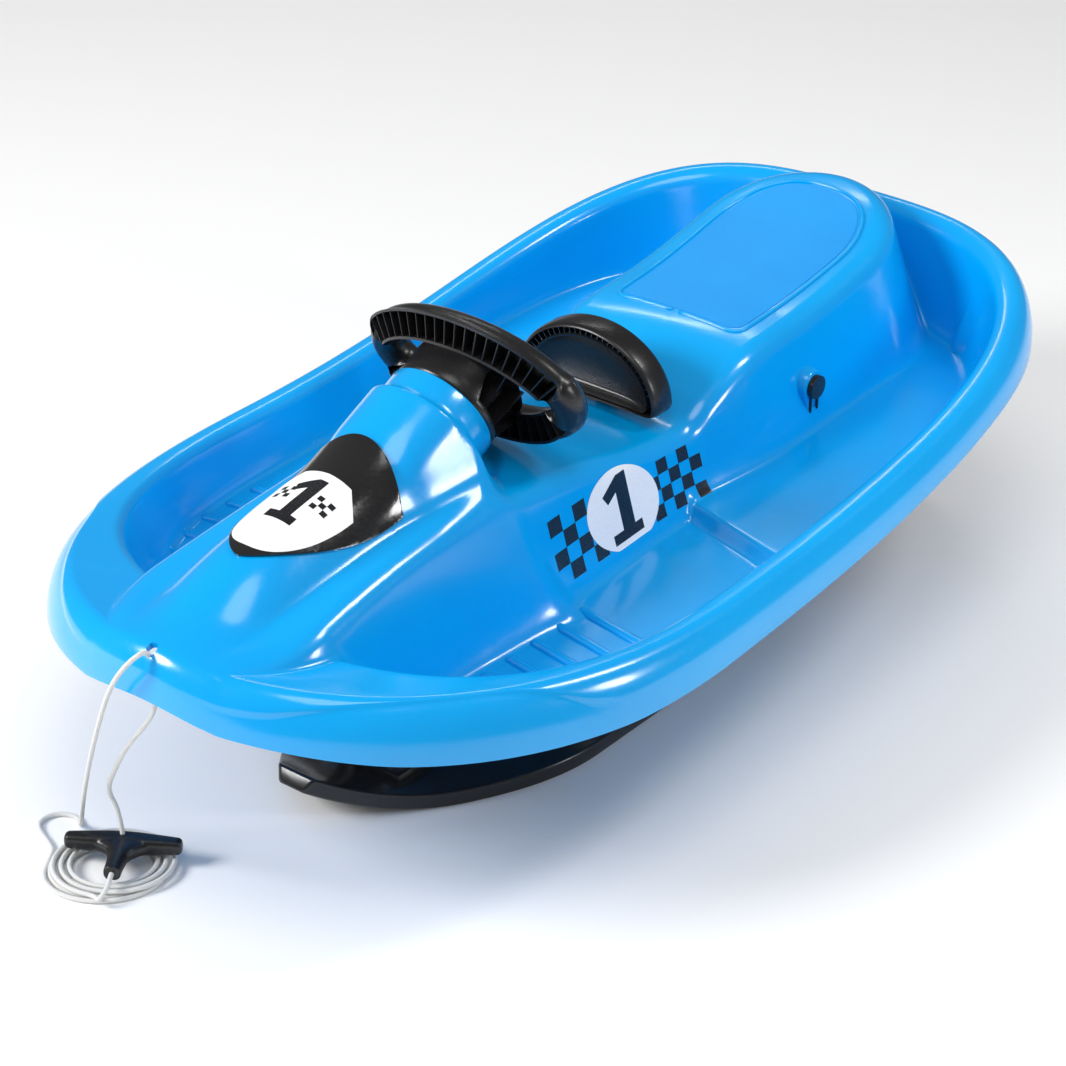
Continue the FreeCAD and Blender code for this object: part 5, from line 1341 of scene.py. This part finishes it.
def buildSki():
    first, last = ski["rearX"] - ski["flatX"], skiBend * math.asin(skiRun / skiBend)
    edge = ski["edge"]
    turns = [math.radians(a) for a in (0, 30, 60, 90)]
    stations = [(first + edge * (1 - math.cos(t)), edge * (1 - math.sin(t))) for t in turns]
    count = round((last - first - 2 * edge) / ski["step"])
    stations += [(s, 0) for s in np.linspace(first + edge, last - edge, count + 1)[1:-1]]
    stations += [(last - edge + edge * math.sin(t), edge * (1 - math.cos(t))) for t in turns]
    body = loft("steeringSki", [skiRing(s, inset) for s, inset in stations], "skiPlastic")
    place(softEdges(body, degrees=50), bodyOf["steering_ski"], slotOf["steering_ski"], "steering_ski")


keel = {
    "high": 142, "rearX": -430, "topRearX": -440, "halfWidth": 92, "topHalfWidth": 132, "flange": 26,
    "flangeThick": 6, "ribThick": 3.6, "ribRound": 0.9, "ribLow": 34, "ribStand": 5, "sunk": 2, "over": 1,
    "sideRibs": 5, "sideFirstX": -380, "sidePitch": 40, "rearRibs": 4, "rearFirstY": -66, "rearPitch": 44,
}


def keelRow(name, outline, count, start, pitch):
    half = keel["ribThick"] / 2
    blank = loft("keelRibBlank", [[spot(off) for spot in outline] for off in (-half, half)], None)
    soften(blank, keel["ribRound"], segments=2, finish="skiPlastic")
    ribs = runTree(name, ribRow, {"Rib": blank, "Count": count, "Start": Vector(start) * metre,
                                  "Pitch": Vector(pitch) * metre}, "skiPlastic")
    bpy.data.objects.remove(blank)
    place(softEdges(ribs, degrees=40), bodyOf["rear_keel"], slotOf["rear_keel"])


def buildKeelRibs():
    top, low = keel["high"] - keel["flangeThick"], keel["ribLow"]
    sunk, stand, over = keel["sunk"], keel["ribStand"], keel["over"]
    sideY, sideSlope = keel["halfWidth"], (keel["topHalfWidth"] - keel["halfWidth"]) / keel["high"]
    rearX, rearSlope = keel["rearX"], (keel["topRearX"] - keel["rearX"]) / keel["high"]
    edge = keel["topHalfWidth"] + keel["flange"] - stand
    section = [(sideY + sideSlope * low - sunk, low), (sideY + sideSlope * top - sunk, top + over),
               (edge, top + over), (edge, top - stand), (sideY + sideSlope * low + over, low)]
    for word, side in bothSides:  # gussets between the flange and the side wall
        outline = [lambda off, y=side * y, z=z: (off, y, z) for y, z in section]
        keelRow("keelGussets" + word, outline, keel["sideRibs"], (keel["sideFirstX"], 0, 0),
                (keel["sidePitch"], 0, 0))
    section = [(rearX + rearSlope * low + sunk, low), (rearX + rearSlope * low - stand, low + 2 * stand),
               (rearX + rearSlope * top - stand, top), (rearX + rearSlope * top + sunk, top)]
    outline = [lambda off, x=x, z=z: (x, off, z) for x, z in section]
    keelRow("keelRearRibs", outline, keel["rearRibs"], (0, keel["rearFirstY"], 0), (0, keel["rearPitch"], 0))


buildSki()
buildKeelRibs()
print("ski and keel ribs done")


# the other CAD pieces: edges rounded, finishes given

dress = {"weld": 0.01, "flat": 1, "segments": 3, "corner": 40, "smooth": 35}
edgeLooks = {"black": (1.2, "blackPlastic"), "bush": (0.6, "bushPlastic"), "steel": (0.5, "zincSteel")}
ownLooks = {"rear_keel": (2.5, "skiPlastic")}


def dressNode(name):
    width, finish = ownLooks.get(name, edgeLooks[slotOf[name]])
    mesh = nodes[name].data.copy()
    bm = bmesh.new()
    bm.from_mesh(mesh)
    bmesh.ops.remove_doubles(bm, verts=bm.verts[:], dist=dress["weld"] * metre)
    bmesh.ops.dissolve_limit(bm, angle_limit=math.radians(dress["flat"]), verts=bm.verts[:],
                             edges=bm.edges[:])
    bm.to_mesh(mesh)
    bm.free()
    piece = newObject("dressed_" + name, mesh, finish)
    soften(piece, width, dress["segments"], dress["corner"], finish)
    place(softEdges(piece, dress["smooth"]), bodyOf[name], slotOf[name], name)


replaced = {name for obj in bpy.data.objects for name in obj.get("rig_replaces", [])}
for name in sorted(set(nodes) - replaced):
    dressNode(name)
print("other pieces dressed:", len(nodes) - len(replaced))


# floor, light, camera

stage = {"floor": 8.0, "shade": (0.95, 0.95, 0.95, 1), "rough": 0.7, "world": 0.42, "glossDim": 0.7}
lamps = {
    "keyLight": {"place": (2.3, -1.6, 1.9), "aim": (0, 0, 0.2), "size": (1.2, 1.2), "power": 84},
    "flankLight": {"place": (-0.95, 1.16, 2.0), "aim": (0.32, 0.07, 0.24), "size": (0.34, 0.66), "power": 12},
    "sideLight": {"place": (-0.64, 2.05, 0.9), "aim": (0.2, 0.06, 0.26), "size": (0.28, 0.55), "power": 9},
    "backLight": {"place": (-1.65, -1.35, 1.95), "aim": (-0.15, 0, 0.25), "size": (1.2, 0.14), "power": 3.5},
    "topLight": {"place": (0.9, 0.7, 3.0), "aim": (0, 0, 0.1), "size": (1.6, 1.6), "power": 20},
}
camera = {
    "place": (1.7303, 1.3376, 1.3716), "look": (-0.6808, -0.5353, -0.5), "lens": 101.3,
    "sensor": 36.0, "far": 50,
}


def buildFloor():
    half = stage["floor"] / 2
    corners = [(x * half / metre, y * half / metre, 0) for x, y in ((-1, -1), (1, -1), (1, 1), (-1, 1))]
    floor = meshObject("floor", corners, [(0, 1, 2, 3)], None)
    material, shader = newMaterial("paleFloor")[::2]
    shader.inputs["Base Color"].default_value = stage["shade"]
    shader.inputs["Roughness"].default_value = stage["rough"]
    floor.data.materials.append(material)


def buildWorld():
    world = bpy.data.worlds.new("studio")
    world.use_nodes = True
    tree = world.node_tree
    link = tree.links.new
    light = tree.nodes["Background"]
    light.inputs["Color"].default_value = (1, 1, 1, 1)
    white = addNode(tree, "ShaderNodeBackground", {"Color": (1, 1, 1, 1), "Strength": 1.0})
    rays = addNode(tree, "ShaderNodeLightPath")
    level = addNode(tree, "ShaderNodeMath", {1: -stage["world"] * stage["glossDim"], 2: stage["world"]},
                    operation="MULTIPLY_ADD")  # mirrored less than it lights
    mix = addNode(tree, "ShaderNodeMixShader")
    link(rays.outputs["Is Glossy Ray"], level.inputs[0])
    link(level.outputs["Value"], light.inputs["Strength"])
    link(rays.outputs["Is Camera Ray"], mix.inputs["Fac"])
    link(light.outputs["Background"], mix.inputs[1])
    link(white.outputs["Background"], mix.inputs[2])
    link(mix.outputs["Shader"], tree.nodes["World Output"].inputs["Surface"])
    scene.world = world


def aimed(name, data, spot, look):
    obj = bpy.data.objects.new(name, data)
    scene.collection.objects.link(obj)
    obj.location = spot
    obj.rotation_euler = Vector(look).to_track_quat("-Z", "Y").to_euler()
    return obj


def buildLights():
    for name, lamp in lamps.items():
        data = bpy.data.lights.new(name, "AREA")
        data.shape, data.energy = "ELLIPSE", lamp["power"]
        data.size, data.size_y = lamp["size"]
        aimed(name, data, lamp["place"], Vector(lamp["aim"]) - Vector(lamp["place"]))


def buildCamera():
    data = bpy.data.cameras.new("camera")
    data.lens, data.sensor_width, data.clip_end = camera["lens"], camera["sensor"], camera["far"]
    scene.camera = aimed("camera", data, camera["place"], camera["look"])
    scene.view_settings.view_transform = "Standard"


buildFloor()
buildWorld()
buildLights()
buildCamera()
print("floor, light and camera done")
